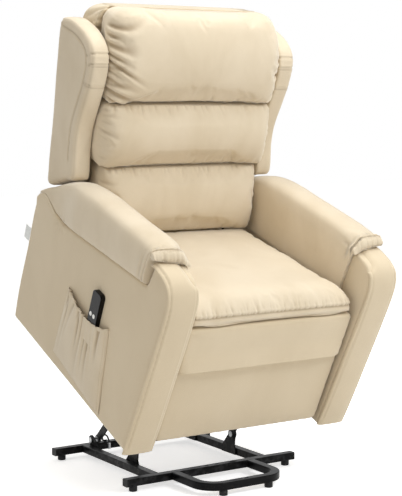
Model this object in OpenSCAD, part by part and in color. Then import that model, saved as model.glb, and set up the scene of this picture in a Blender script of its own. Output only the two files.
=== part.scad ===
// Lift recliner chair, drawn in its raised pose.
// World frame: +Z up, the sitter faces -Y, X is sideways, origin on the floor under the middle.
// Chair pieces are drawn in chair coordinates: x sideways, u back from the front bottom corner of
// the arm panels, z up from the floor with the chair seated; raised() then lifts and tips them.

/* [Overall] */
// Width over the two arms
overall_w = 780; // [740:5:820]
// Tip of the seat when fully raised, degrees
lift_tilt = 23.6; // [20:0.2:26]
// Front bottom corner of the arm panels when raised, along Y
corner_y = -212; // [-216:1:-208]
// Height of that corner when raised
corner_z = 155; // [151:1:159]
// Where the same corner stands along Y with the chair seated
seated_y = -336; // [-340:1:-332]
// Gap under the arm panels with the chair seated
panel_clear = 45; // [43:1:52]

/* [Base frame] */
// Width of the base tubes
tube_w = 27; // [24:1:30]
// Height of the base tubes
tube_h = 23; // [20:1:25]
// Wall of the base tubes
tube_wall = 2; // [1.5:0.1:3]
// Height of the feet
foot_h = 16; // [12:1:18]
// Radius of a foot
foot_r = 12.5; // [10:0.5:15]
// Distance between the middles of the side rails
rail_span = 386; // [384:1:392]
// Length of the cross bars
bar_len = 598; // [560:2:620]
// Middle of the front bar along Y
front_bar_y = -83; // [-90:1:-78]
// Middle of the rear bar along Y
rear_bar_y = 357; // [355:1:372]
// Front face of the bent loop along Y
loop_front_y = -277; // [-300:1:-260]
// Distance between the middles of the loop's legs
loop_span = 268; // [240:2:300]
// Bend radius of the loop at the tube's middle
loop_bend_r = 62; // [45:1:80]

/* [Lift linkage] */
// Thickness of the links
link_t = 6; // [5:0.5:7]
// Height of a link bar
link_h = 24; // [20:1:26]
// Radius of the pivot shanks
pivot_r = 6; // [5:0.5:7]
// Radius of the torque tube
torque_r = 13; // [12:0.5:14]
// Length of the crank that the rod pushes
crank_len = 60; // [56:1:64]
// Angle of the crank to the level with the chair seated
crank_angle = -10; // [-12:1:-4]
// Running clearance of the round fits
fit = 0.06; // [0.03:0.01:0.09]

/* [Seat] */
// Gap between the seat cushion and each arm pad
seat_gap = 3; // [2:0.5:5]
// Height of the seat cushion's front, seated
seat_front_z = 503; // [498:1:512]
// Height of the seat cushion's rear edge, seated
seat_rear_z = 428; // [424:1:436]
// Crown of the seat cushion
seat_crown = 14; // [6:1:20]
// Top of the seat deck at its front
deck_front_z = 385; // [383:1:388]
// Fall of the seat deck to the rear, degrees
deck_fall = 7; // [6:0.2:7.4]
// Side of the square seat frame tube
seat_tube = 25; // [20:1:26]

/* [Arms] */
// Thickness of an arm at its foot
arm_t = 98; // [90:1:100]
// Depth of the arm panels
panel_depth = 741; // [735:1:750]
// Overhang of the arm pads towards the seat
pad_overhang = 12; // [4:1:13]
// How far the front posts stand proud of the side panels
post_proud = 7; // [3:1:8]

/* [Back] */
// How far the wings stand in from the outer faces of the arms
wing_inset = 30; // [26:1:36]
// Thickness of a wing
wing_t = 60; // [50:1:62]
// Gap between the back cushions and each wing
pillow_gap = 4; // [3:0.5:8]
// Crown of the back cushions over their seams
pillow_crown = 42; // [30:1:48]

/* [Footrest] */
// Thickness of the footrest pad and the flap
pad_t = 26; // [24:1:28]
// How far the face of the footrest stands behind the face of the flap
foot_setback = 9; // [6:0.5:11]
// How far the footrest stands out past the seat cushion on each side
foot_spread = 6; // [2:0.5:7]
// Swing of the footrest, degrees
foot_swing = 90; // [80:1:92]

/* [Handset and pocket] */
// Length of the handset
handset_len = 150; // [140:1:160]
// Width of the handset
handset_w = 50; // [44:1:54]
// Thickness of the handset
handset_t = 16; // [14:0.5:16]
// Radius of a handset key
key_r = 6.4; // [5:0.2:7]
// Travel of a handset key
key_travel = 1; // [0.6:0.1:1.4]
// Thickness of the pocket cloth
cloth_t = 2.5; // [2:0.1:3]

/* [Hidden] */

velvet = "#d8c9a9";
velvet_edge = "#c9b893";
black_steel = "#26262a";
zinc = "#a9abac";
nylon = "#e6e3da";
black_plastic = "#17181a";
timber = "#c8a273";
white_cloth = "#f4f4f0";
round_fn = 48;
slide_gap = 0.3;          // clearance kept between faces that pass or only rest
weld_gap = 0.1;           // clearance of a tube in the plates it is welded to

// ---- places across the chair ---------------------------------------------------------------
arm_outer_x = overall_w / 2 - post_proud;
arm_inner_x = arm_outer_x + post_proud - arm_t;
pad_outer_x = arm_outer_x + pad_overhang;
pad_inner_x = arm_inner_x - pad_overhang;
seat_half_w = pad_inner_x - seat_gap;
recliner_plate_x = arm_inner_x - 30;
outer_link_x = recliner_plate_x - 8;
inner_link_x = outer_link_x - 6;

// ---- frames of reference -------------------------------------------------------------------
// a chair point [u, z] in the world's [y, z], raised and seated
function raised_pt(p) = [corner_y + p[0] * cos(lift_tilt) - (p[1] - panel_clear) * sin(lift_tilt),
                         corner_z + p[0] * sin(lift_tilt) + (p[1] - panel_clear) * cos(lift_tilt)];
function seated_pt(p) = [seated_y + p[0], p[1]];
module raised() {
    translate([0, corner_y, corner_z]) rotate([lift_tilt, 0, 0]) translate([0, 0, -panel_clear])
        children();
}
module both_sides() {
    children();
    mirror([1, 0, 0]) children();
}
function turned(v, a) = [v[0] * cos(a) - v[1] * sin(a), v[0] * sin(a) + v[1] * cos(a)];
function heading(v) = atan2(v[1], v[0]);
// the point at height z that is as far from a as from b
function between(a, b, z) = [(a[0] + b[0]) / 2 - (z - (a[1] + b[1]) / 2) * (b[1] - a[1]) / (b[0] - a[0]), z];

// ---- curves and skins ----------------------------------------------------------------------
function sum(v, i = 0) = i < len(v) ? v[i] + sum(v, i + 1) : v[0] * 0;
function spline_at(p0, p1, p2, p3, t) =
    0.5 * (2 * p1 + (p2 - p0) * t + (2 * p0 - 5 * p1 + 4 * p2 - p3) * t * t
           + (3 * p1 - 3 * p2 + p3 - p0) * t * t * t);
// a smooth closed or open curve through the points, steps points to a span
function smooth(pts, steps, closed = true) = let (n = len(pts))
    closed ? [for (i = [0 : n - 1]) for (k = [0 : steps - 1])
                spline_at(pts[(i + n - 1) % n], pts[i], pts[(i + 1) % n], pts[(i + 2) % n], k / steps)]
           : concat([for (i = [0 : n - 2]) for (k = [0 : steps - 1])
                spline_at(pts[max(i - 1, 0)], pts[i], pts[i + 1], pts[min(i + 2, n - 1)], k / steps)],
                [pts[n - 1]]);
// a closed solid over rings of equal counts, its two ends closed to their middles
module skin(rings) {
    n = len(rings[0]);
    m = len(rings);
    mid_a = sum(rings[0]) / n;
    mid_b = sum(rings[m - 1]) / n;
    spin = sum([for (i = [0 : n - 1]) cross(rings[0][i] - mid_a, rings[0][(i + 1) % n] - mid_a)])
           * (sum(rings[1]) / n - mid_a);
    function q(i, j) = i * n + j % n;
    sides = [for (i = [0 : m - 2]) for (j = [0 : n - 1])
        each [[q(i, j), q(i, j + 1), q(i + 1, j + 1)], [q(i, j), q(i + 1, j + 1), q(i + 1, j)]]];
    caps = [for (j = [0 : n - 1])
        each [[m * n, q(0, j + 1), q(0, j)], [m * n + 1, q(m - 1, j), q(m - 1, j + 1)]]];
    faces = concat(sides, caps);
    polyhedron(points = concat([for (r = rings) each r], [mid_a, mid_b]),
        faces = spin > 0 ? [for (f = faces) [f[2], f[1], f[0]]] : faces);
}
// how full a padded form is at s from 0 at its edge to 1 in its middle
function dome(s, p = 2.4) = pow(max(0, 1 - pow(1 - s, p)), 1 / p);
// stations from -1 to 1, closer together at the ends
function stations(n) = [for (i = [0 : n]) sin(-90 + 180 * i / n)];

// ---- plate shapes --------------------------------------------------------------------------
// a flat plate standing in the side plane, its inner face at x; points are [y, z] or [u, z]
module side_plate(x, t) {
    translate([x, 0, 0]) rotate([90, 0, 90]) linear_extrude(t) children();
}
module link_outline(a, b, h, eye_a, eye_b) {
    d = b - a;
    translate(a) circle(eye_a, $fn = round_fn);
    translate(b) circle(eye_b, $fn = round_fn);
    translate(a) rotate(heading(d)) translate([0, -h / 2]) square([norm(d), h]);
}
module cross_rod(p, r, x0, x1) {
    translate([x0, p[0], p[1]]) rotate([0, 90, 0]) cylinder(h = x1 - x0, r = r, $fn = round_fn);
}
module cross_tube(p, r, wall, half) {
    difference() {
        cross_rod(p, r, -half, half);
        cross_rod(p, r - wall, -half - 1, half + 1);
    }
}

// ---- base frame ----------------------------------------------------------------------------
tube_top = foot_h + tube_h;
rail_x = rail_span / 2;
rail_inner_x = rail_x - tube_w / 2;
front_bar_back = front_bar_y + tube_w / 2;
rear_bar_front = rear_bar_y - tube_w / 2;
edge_r = 3;
cap_t = 2.5;

module rounded_box_2d(w, h, r) {
    translate([-w / 2 + r, -h / 2]) square([w - 2 * r, h]);
    translate([-w / 2, -h / 2 + r]) square([w, h - 2 * r]);
    for (x = [-1, 1]) for (y = [-1, 1])
        translate([x * (w / 2 - r), y * (h / 2 - r)]) circle(r, $fn = 24);
}
module tube_2d() {
    difference() {
        rounded_box_2d(tube_w, tube_h, edge_r);
        square([tube_w - 2 * tube_wall, tube_h - 2 * tube_wall], center = true);
    }
}
module bar_along_x(y, half) {
    translate([-half, y, foot_h + tube_h / 2]) rotate([90, 0, 90]) linear_extrude(2 * half) tube_2d();
}
module base_side_rails() {
    color(black_steel) both_sides()
        translate([rail_x, rear_bar_front, foot_h + tube_h / 2]) rotate([90, 0, 0])
            linear_extrude(rear_bar_front - front_bar_back) tube_2d();
}
module base_rear_bar() {
    color(black_steel) bar_along_x(rear_bar_y, bar_len / 2);
}
// two clip slots for shipping screws in the front bar's top
slot_x = 18;
module base_front_bar() {
    color(black_steel) difference() {
        bar_along_x(front_bar_y, bar_len / 2);
        for (x = [-slot_x, slot_x])
            translate([x, front_bar_y, tube_top - tube_wall / 2]) cube([14, 6, 2 * tube_wall], center = true);
    }
}
loop_back_y = front_bar_y - tube_w / 2;
loop_leg_y = loop_front_y + tube_w / 2 + loop_bend_r;
module base_front_loop() {
    mid_z = foot_h + tube_h / 2;
    color(black_steel) {
        both_sides() {
            translate([loop_span / 2, loop_back_y, mid_z]) rotate([90, 0, 0])
                linear_extrude(loop_back_y - loop_leg_y) tube_2d();
            translate([loop_span / 2 - loop_bend_r, loop_leg_y, mid_z]) rotate([0, 0, -90])
                rotate_extrude(angle = 90, $fn = 96) translate([loop_bend_r, 0]) tube_2d();
        }
        difference() {
            bar_along_x(loop_front_y + tube_w / 2, loop_span / 2 - loop_bend_r);
            translate([0, loop_front_y + tube_w / 2, tube_top - tube_wall / 2])
                cube([14, 6, 2 * tube_wall], center = true);
        }
    }
}
// plugs with a flat head in the four open tube ends
module base_end_caps() {
    color(black_plastic) both_sides() for (y = [front_bar_y, rear_bar_y])
        translate([bar_len / 2, y, foot_h + tube_h / 2]) {
            rotate([90, 0, 90]) linear_extrude(cap_t) rounded_box_2d(tube_w, tube_h, edge_r);
            translate([-12, -(tube_w / 2 - tube_wall - slide_gap), -(tube_h / 2 - tube_wall - slide_gap)])
                cube([12, tube_w - 2 * (tube_wall + slide_gap), tube_h - 2 * (tube_wall + slide_gap)]);
        }
}
foot_x = bar_len / 2 - 25;
loop_foot_x = 80;
module foot() {
    rotate_extrude($fn = round_fn) polygon([[0, 0], [foot_r - 2, 0], [foot_r - 0.6, 0.6], [foot_r, 2],
        [foot_r, foot_h - 3], [foot_r - 1.2, foot_h], [0, foot_h]]);
}
module base_feet() {
    color(black_plastic) both_sides() {
        for (y = [front_bar_y, rear_bar_y]) translate([foot_x, y, 0]) foot();
        translate([loop_foot_x, loop_front_y + tube_w / 2, 0]) foot();
    }
}

// ---- lift linkage --------------------------------------------------------------------------
rear_chair_pivot = [334, 47];
front_chair_pivot = [187, 77];
rear_base_z = 55;
front_base_z = 84;
rear_base_pivot = between(seated_pt(rear_chair_pivot), raised_pt(rear_chair_pivot), rear_base_z);
front_base_pivot = between(seated_pt(front_chair_pivot), raised_pt(front_chair_pivot), front_base_z);
bracket_t = 5;
bracket_x = rail_inner_x - bracket_t;
washer_t = 1.5;
link_x = bracket_x - washer_t - link_t;
lift_plate_t = 5;
lift_plate_x = link_x - 3 - lift_plate_t;
rear_link_x = lift_plate_x - 2 - link_t;
stub_r = 9;
function swing(a, b) = atan2(a[0] * b[1] - a[1] * b[0], a * b);
rear_swing = swing(raised_pt(rear_chair_pivot) - rear_base_pivot, seated_pt(rear_chair_pivot) - rear_base_pivot);
front_swing = swing(raised_pt(front_chair_pivot) - front_base_pivot,
    seated_pt(front_chair_pivot) - front_base_pivot);
// where the front chair pivot and the front link's end come apart, t of the way down
function rear_end_at(t) = rear_base_pivot + turned(raised_pt(rear_chair_pivot) - rear_base_pivot, rear_swing * t);
function chair_pt_at(p, t) = rear_end_at(t)
    + turned(raised_pt(p) - raised_pt(rear_chair_pivot), -lift_tilt * t);
function front_drift(t) = turned(chair_pt_at(front_chair_pivot, t) - front_base_pivot, -front_swing * t)
    - (raised_pt(front_chair_pivot) - front_base_pivot);
front_path = [for (i = [0 : 20]) front_drift(i / 20)];
function mid_of(path) = [(min([for (p = path) p[0]]) + max([for (p = path) p[0]])) / 2,
                         (min([for (p = path) p[1]]) + max([for (p = path) p[1]])) / 2];
function reach_of(path, c) = max([for (p = path) norm(p - c)]);
front_eye = raised_pt(front_chair_pivot) + mid_of(front_path);
front_eye_r = pivot_r + reach_of(front_path, mid_of(front_path)) + slide_gap;

module base_link_brackets() {
    color(black_steel) both_sides() difference() {
        union() {
            side_plate(bracket_x, bracket_t) {
                translate(rear_base_pivot) circle(15, $fn = round_fn);
                polygon([[rear_base_pivot[0] - 62, foot_h + 2], [rear_bar_front - 1, foot_h + 2],
                    [rear_bar_front - 1, rear_base_z - 8], rear_base_pivot + [0, 8],
                    rear_base_pivot + [-12, 9], [rear_base_pivot[0] - 62, tube_top - 3]]);
            }
            side_plate(bracket_x, bracket_t) {
                translate(front_base_pivot) circle(15, $fn = round_fn);
                polygon([[front_base_pivot[0] - 14, foot_h + 2], [front_base_pivot[0] + 62, foot_h + 2],
                    [front_base_pivot[0] + 62, tube_top - 4], front_base_pivot + [13, 8],
                    front_base_pivot + [-13, 8], [front_base_pivot[0] - 6, tube_top + 8],
                    [front_base_pivot[0] - 14, tube_top - 6]]);
            }
        }
        for (p = [rear_base_pivot, front_base_pivot])
            cross_rod(p, pivot_r + weld_gap, bracket_x - 1, rail_inner_x + 1);
    }
}
// rivets with a thin head inside the link, a spacer, and a thick head outside the bracket
module base_pivot_rivets() {
    color(zinc) both_sides() for (k = [[rear_base_pivot, rear_link_x], [front_base_pivot, link_x]]) {
        cross_rod(k[0], pivot_r, k[1] - 1.4, rail_inner_x + slide_gap);
        cross_rod(k[0], 9, k[1] - 1.4, k[1] - 0.2);
        cross_rod(k[0], 8.5, k[1] + link_t + 0.2, bracket_x - 0.1);
        cross_rod(k[0], 9, rail_inner_x + 0.2, rail_inner_x + 3.4);
    }
}
module lift_links_rear() {
    a = rear_base_pivot;
    b = raised_pt(rear_chair_pivot);
    color(black_steel) both_sides() difference() {
        side_plate(rear_link_x, link_t) link_outline(a, b, link_h, 14, torque_r + 6);
        cross_rod(a, pivot_r + fit, rear_link_x - 1, rear_link_x + link_t + 1);
        cross_rod(b, torque_r + weld_gap, rear_link_x - 1, rear_link_x + link_t + 1);
    }
}
module torque_tube() {
    p = raised_pt(rear_chair_pivot);
    color(black_steel) {
        cross_tube(p, torque_r, 2.5, rear_link_x + link_t);
        // turned stubs in the tube's ends, which run in the lift plates' bushes
        both_sides() {
            cross_rod(p, torque_r - 2.6, rear_link_x - 14, rear_link_x + link_t);
            cross_rod(p, stub_r, rear_link_x - 14, lift_plate_x + lift_plate_t + 1);
        }
    }
}
// the crank points down and back from the torque tube; rod_pin is its end in chair coordinates
crank_turn = -(rear_swing + lift_tilt);
function rod_pin_at(t) = rear_chair_pivot
    + crank_len * [cos(crank_angle + crank_turn * (1 - t)), sin(crank_angle + crank_turn * (1 - t))];
rod_pin = rod_pin_at(0);
crank_half = 17;
crank_t = 5;
module torque_crank() {
    a = raised_pt(rear_chair_pivot);
    b = raised_pt(rod_pin);
    color(black_steel) for (x = [-crank_half, crank_half - crank_t]) difference() {
        side_plate(x, crank_t) link_outline(a, b, 22, torque_r + 7, 13);
        cross_rod(a, torque_r + weld_gap, x - 1, x + crank_t + 1);
        cross_rod(b, pivot_r + weld_gap, x - 1, x + crank_t + 1);
    }
}
module crank_pin() {
    color(zinc) {
        cross_rod(raised_pt(rod_pin), pivot_r, -crank_half - 1, crank_half + 1);
        for (x = [-crank_half - 4, crank_half + 0.2])
            cross_rod(raised_pt(rod_pin), 9, x, x + 3.8);
    }
}
module lift_links_front() {
    a = front_base_pivot;
    color(black_steel) both_sides() difference() {
        side_plate(link_x, link_t) link_outline(a, front_eye, link_h, 14, front_eye_r + 6);
        cross_rod(a, pivot_r + fit, link_x - 1, link_x + link_t + 1);
        cross_rod(front_eye, front_eye_r, link_x - 1, link_x + link_t + 1);
    }
}

// ---- chassis -------------------------------------------------------------------------------
front_tube_at = [285, 215];
motor_tube_at = [676, 128];
motor_pivot = [652, 150];
drive_pivot = [118, 326];
control_pivot = [178, 291];
back_pivot = [588, 262];
cross_tube_r = 12;
recliner_plate_t = 4;
lift_plate_windows = [[[312, 150], [372, 100], [420, 106], [366, 178]],
    [[430, 158], [462, 112], [520, 122], [500, 143]]];
module lift_side_plates() {
    color(black_steel) raised() both_sides() difference() {
        side_plate(lift_plate_x, lift_plate_t) difference() {
            offset(r = 20, $fn = 40) polygon([front_chair_pivot, rear_chair_pivot, motor_tube_at,
                front_tube_at]);
            for (w = lift_plate_windows) offset(r = 10, $fn = 24) polygon(w);
        }
        cross_rod(front_chair_pivot, pivot_r + weld_gap, lift_plate_x - 1, lift_plate_x + lift_plate_t + 1);
        cross_rod(rear_chair_pivot, stub_r + 4 + weld_gap, lift_plate_x - 1, lift_plate_x + lift_plate_t + 1);
        for (p = [front_tube_at, motor_tube_at])
            cross_rod(p, cross_tube_r + weld_gap, lift_plate_x - 1, lift_plate_x + lift_plate_t + 1);
    }
}
module front_link_studs() {
    p = front_chair_pivot;
    color(zinc) raised() both_sides() {
        cross_rod(p, pivot_r, lift_plate_x - 1, link_x + link_t + 1.2);
        cross_rod(p, 9, lift_plate_x - 3.5, lift_plate_x - 0.2);
        cross_rod(p, 9, lift_plate_x + lift_plate_t + 0.2, link_x - slide_gap);
    }
}
module torque_tube_bushes() {
    p = rear_chair_pivot;
    color(nylon) raised() both_sides() difference() {
        union() {
            cross_rod(p, stub_r + 4, lift_plate_x - 0.1, lift_plate_x + lift_plate_t);
            cross_rod(p, stub_r + 6, rear_link_x + link_t + slide_gap, lift_plate_x - 0.1);
        }
        cross_rod(p, stub_r + fit, rear_link_x, link_x + 1);
    }
}
recliner_windows = [[[300, 262], [385, 216], [392, 246], [330, 290]],
    [[462, 232], [500, 178], [560, 172], [548, 262], [480, 270]]];
module recliner_side_plates() {
    color(black_steel) raised() both_sides() difference() {
        side_plate(recliner_plate_x, recliner_plate_t) difference() {
            offset(r = 20, $fn = 40) polygon([[112, 345], [120, 322], control_pivot, front_tube_at,
                [640, 128], motor_tube_at, back_pivot + [14, 28]]);
            for (w = recliner_windows) offset(r = 12, $fn = 24) polygon(w);
        }
        for (p = [drive_pivot, back_pivot])
            cross_rod(p, 12 + fit, recliner_plate_x - 1, recliner_plate_x + recliner_plate_t + 1);
        cross_rod(control_pivot, pivot_r + weld_gap, recliner_plate_x - 1, recliner_plate_x + recliner_plate_t + 1);
        for (p = [front_tube_at, motor_tube_at])
            cross_rod(p, cross_tube_r + weld_gap, recliner_plate_x - 1, recliner_plate_x + recliner_plate_t + 1);
        for (p = seat_bolt_at) cross_rod(p, 4 + weld_gap, recliner_plate_x - 1, recliner_plate_x + recliner_plate_t + 1);
        for (p = arm_bolt_at) cross_rod(p, 4 + weld_gap, recliner_plate_x - 1, recliner_plate_x + recliner_plate_t + 1);
    }
}
module front_cross_tube() {
    color(black_steel) raised() cross_tube(front_tube_at, cross_tube_r, 2, recliner_plate_x + recliner_plate_t);
}
module rear_motor_tube() {
    color(black_steel) raised() {
        cross_tube(motor_tube_at, cross_tube_r, 2, recliner_plate_x + recliner_plate_t);
        // lugs that carry the motor's clevis
        for (x = [-lug_half, lug_half - lug_t]) difference() {
            side_plate(x, lug_t) link_outline(motor_tube_at, motor_pivot, 22, cross_tube_r + 6, 12.5);
            cross_rod(motor_tube_at, cross_tube_r - 1, x - 1, x + lug_t + 1);
            cross_rod(motor_pivot, pivot_r + fit, x - 1, x + lug_t + 1);
        }
    }
}

// ---- seat ----------------------------------------------------------------------------------
deck_start = 40;
deck_len = 505;
function deck_z(u) = deck_front_z - (u - deck_start) * tan(deck_fall);
seat_rail_x = recliner_plate_x - 40;
seat_bolt_at = [for (u = [132, 330, 520]) [u, deck_z(u) - seat_tube / 2 / cos(deck_fall)]];
arm_bolt_at = [[150, 326], [420, 258], [640, 175]];
module on_deck() {
    translate([0, deck_start, deck_front_z]) rotate([-deck_fall, 0, 0]) children();
}
module seat_frame() {
    color(black_steel) raised() difference() {
        on_deck() difference() {
            translate([-seat_rail_x - seat_tube, 0, -seat_tube])
                cube([2 * (seat_rail_x + seat_tube), deck_len, seat_tube]);
            translate([-seat_rail_x, seat_tube, -seat_tube - 1])
                cube([2 * seat_rail_x, deck_len - 2 * seat_tube, seat_tube + 2]);
        }
        for (s = [-1, 1]) for (p = seat_bolt_at)
            cross_rod(p, 4 + weld_gap, s * (seat_rail_x + seat_tube / 2) - seat_tube, s * (seat_rail_x + seat_tube / 2) + seat_tube);
    }
}
// spacer bolts between the seat frame and the side plates
module seat_frame_bolts() {
    color(zinc) raised() both_sides() for (p = seat_bolt_at) {
        cross_rod(p, 4, seat_rail_x + 2, recliner_plate_x + recliner_plate_t + 0.3);
        cross_rod(p, 8, seat_rail_x + seat_tube + 0.1, recliner_plate_x - 0.1);
        cross_rod(p, 7, recliner_plate_x + recliner_plate_t + 0.2, recliner_plate_x + recliner_plate_t + 5);
    }
}
// flat zigzag springs, hooked over the front and rear rails
spring_w = 4;
spring_pitch = 26;
spring_reach = 19;
module zigzag_2d(length) {
    turns = floor((length - 2 * spring_pitch) / spring_pitch);
    start = (length - turns * spring_pitch) / 2;
    for (i = [0 : turns - 1]) {
        side = i % 2 == 0 ? 1 : -1;
        y = start + i * spring_pitch;
        translate([-spring_reach + spring_pitch / 2, y - spring_w / 2])
            square([2 * spring_reach - spring_pitch, spring_w]);
        translate([side * (spring_reach - spring_pitch / 2), y + spring_pitch / 2]) difference() {
            circle(spring_pitch / 2 + spring_w / 2, $fn = 32);
            circle(spring_pitch / 2 - spring_w / 2, $fn = 32);
            translate([side > 0 ? -spring_pitch : 0, -spring_pitch])
                square([spring_pitch, 2 * spring_pitch]);
        }
    }
    translate([-spring_reach + spring_pitch / 2, start + turns * spring_pitch - spring_w / 2])
        square([2 * spring_reach - spring_pitch, spring_w]);
    translate([-spring_w / 2, 0]) square([spring_w, start]);
    translate([-spring_w / 2, start + turns * spring_pitch]) square([spring_w, start]);
}
spring_count = 5;
spring_apart = (2 * seat_rail_x - 24) / spring_count;
module seat_springs() {
    color(zinc) raised() on_deck() for (i = [0 : spring_count - 1])
        translate([(i - (spring_count - 1) / 2) * spring_apart, 6, 0.3])
            linear_extrude(spring_w) zigzag_2d(deck_len - 12);
}
board_back_u = deck_start - seat_tube * sin(deck_fall) - slide_gap;
module seat_front_board() {
    color(timber) raised() translate([-seat_rail_x - seat_tube, board_back_u - board_t, deck_front_z - 34])
        cube([2 * (seat_rail_x + seat_tube), board_t, seat_front_z - 53.3 - (deck_front_z - 34)]);
}
seat_under = 4.8 + slide_gap;     // the cushion lies on the springs
// side outline of the seat cushion, crowned by c
function seat_outline(c) = let (f = seat_front_z, r = seat_rear_z)
    concat(
        [[-20, f - 53], [board_back_u + 2, f - 53], [deck_start + 8, deck_z(deck_start + 8) + seat_under],
         [deck_start + 170, deck_z(deck_start + 170) + seat_under],
         [deck_start + 345, deck_z(deck_start + 345) + seat_under],
         [deck_start + deck_len - 12, deck_z(deck_start + deck_len - 12) + seat_under]],
        [[566, 345], [572, r - 50], [560, r - 16], [527, r - 2 + c * 0.1], [440, r + 16 + c * 0.8],
         [338, r + 31 + c], [240, f - 29 + c], [176, f - 20 + c], [110, f - 9 + c * 0.8],
         [54, f - 1 + c * 0.6], [12, f - 2 + c * 0.4], [-12, f - 9 + c * 0.2], [-22, f - 19],
         [-24, f - 26], [-18, f - 30], [-24, f - 35], [-26, f - 44]]);
module seat_cushion() {
    n = 14;
    color(velvet) raised() skin([for (s = stations(n)) let (
        edge = 1 - abs(s),
        full = dome(min(1, edge / 0.16), 2),
        x = s * seat_half_w,
        pts = seat_outline(seat_crown * (1 - s * s)),
        mid = sum(pts) / len(pts),
        tuck = 10 * (1 - full))
        [for (p = pts) let (d = p - mid, q = p - tuck * [d[0] / 300, d[1] / 60])
            [x, q[0], p[1] > deck_z(p[0]) + 20 ? q[1] : p[1]]]]);
}

// ---- padded plates and loose cloth ---------------------------------------------------------
function unit(v) = v / norm(v);
// an outline drawn in by d, measured square to its edges
function drawn_in(pts, d) = let (n = len(pts)) [for (i = [0 : n - 1]) let (
    a = unit(pts[i] - pts[(i + n - 1) % n]),
    b = unit(pts[(i + 1) % n] - pts[i]),
    m = unit(a + b))
    pts[i] + d / max(0.5, m * b) * [-m[1], m[0]]];
// a plate padded over its faces: outline [u, z] counterclockwise, from x0 to x1, edges rolled
module padded_plate(outline, x0, x1, roll, roll_back) {
    s = x1 > x0 ? 1 : -1;
    skin([for (k = [[x0, roll_back], [x0 + s * roll_back * 0.4, roll_back * 0.3], [x0 + s * roll_back, 0],
                    [x1 - s * roll, 0], [x1 - s * roll * 0.6, roll * 0.14], [x1 - s * roll * 0.25, roll * 0.45],
                    [x1, roll]])
        [for (p = drawn_in(outline, k[1])) [k[0], p[0], p[1]]]]);
}
// a closed solid between two grids of points, such as a sheet of cloth
module sheet(back, front) {
    rows = len(back);
    cols = len(back[0]);
    size = rows * cols;
    function q(i, j) = i * cols + j;
    span = cross(back[0][cols - 1] - back[0][0], back[rows - 1][0] - back[0][0]);
    out = span * (front[1][1] - back[1][1]);
    inner = [for (i = [0 : rows - 2]) for (j = [0 : cols - 2])
        each [[q(i, j), q(i, j + 1), q(i + 1, j + 1)], [q(i, j), q(i + 1, j + 1), q(i + 1, j)]]];
    outer = [for (f = inner) [f[2] + size, f[1] + size, f[0] + size]];
    rim = concat([for (j = [0 : cols - 2]) q(0, j)], [for (i = [0 : rows - 2]) q(i, cols - 1)],
        [for (j = [cols - 1 : -1 : 1]) q(rows - 1, j)], [for (i = [rows - 1 : -1 : 1]) q(i, 0)]);
    n = len(rim);
    border = [for (k = [0 : n - 1]) let (a = rim[k], b = rim[(k + 1) % n])
        each [[a, b + size, b], [a, a + size, b + size]]];
    faces = concat(inner, outer, border);
    polyhedron(points = concat([for (r = back) each r], [for (r = front) each r]),
        faces = out > 0 ? faces : [for (f = faces) [f[2], f[1], f[0]]]);
}

// ---- arms ----------------------------------------------------------------------------------
// front edge of the arm, from its foot up to where it runs under the pad
post_edge = smooth([[-4, panel_clear], [-14, 150], [-24, 272], [-36, 400], [-44, 500], [-43, 545],
    [-32, 576], [-8, 597], [34, 606], [62, 608]], 2, false);
// seam between the side panel and the arm pad, from the front back
pad_seam = [[76, 536], [93, 534], [330, 501], [566, 467], [608, 474], [650, 492], [684, 503], [720, 489]];
back_edge = [[735, 470], [742, 430], [743, 379], [741, 311], [743, 251], [746, 140], [panel_depth, panel_clear]];
function reversed(v) = [for (i = [len(v) - 1 : -1 : 0]) v[i]];
panel_outline = concat(reversed(back_edge), reversed(pad_seam), reversed(post_edge));
module arm_panel(side) {
    outline = concat(panel_outline, [[360, panel_clear]]);
    raised() skin([for (k = [[0, 4], [1.6, 1.2], [4, 0], [arm_t - post_proud - 7, 0],
            [arm_t - post_proud - 3, 1.6], [arm_t - post_proud - 1, 4.2], [arm_t - post_proud, 9]])
        [for (p = drawn_in(outline, k[1])) [side * (arm_inner_x + k[0]), p[0], p[1]]]]);
}
module arm_panel_left() { color(velvet) arm_panel(1); }
module arm_panel_right() { color(velvet) arm_panel(-1); }
// the padded band down the front of the arm
post_depth = 15;
module arm_post(side) {
    n = len(post_edge);
    raised() skin([for (i = [0 : n - 1]) let (
        along = unit(post_edge[min(i + 1, n - 1)] - post_edge[max(i - 1, 0)]),
        out = [-along[1], along[0]],
        full = 0.55 + 0.45 * sin(180 * min(1, i / (n - 1) + 0.12)))
        [for (k = [[2, slide_gap], [0.5, 5], [3, 10], [12, post_depth - 2], [34, post_depth],
                   [64, post_depth], [86, post_depth - 2], [95, 10], [arm_t, 5], [arm_t - 3, slide_gap]])
            let (p = post_edge[i] + out * (k[1] <= slide_gap ? slide_gap : k[1] * full))
            [side * (arm_inner_x + k[0]), p[0], p[1]]]]);
}
module arm_post_left() { color(velvet_edge) arm_post(1); }
module arm_post_right() { color(velvet_edge) arm_post(-1); }
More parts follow.
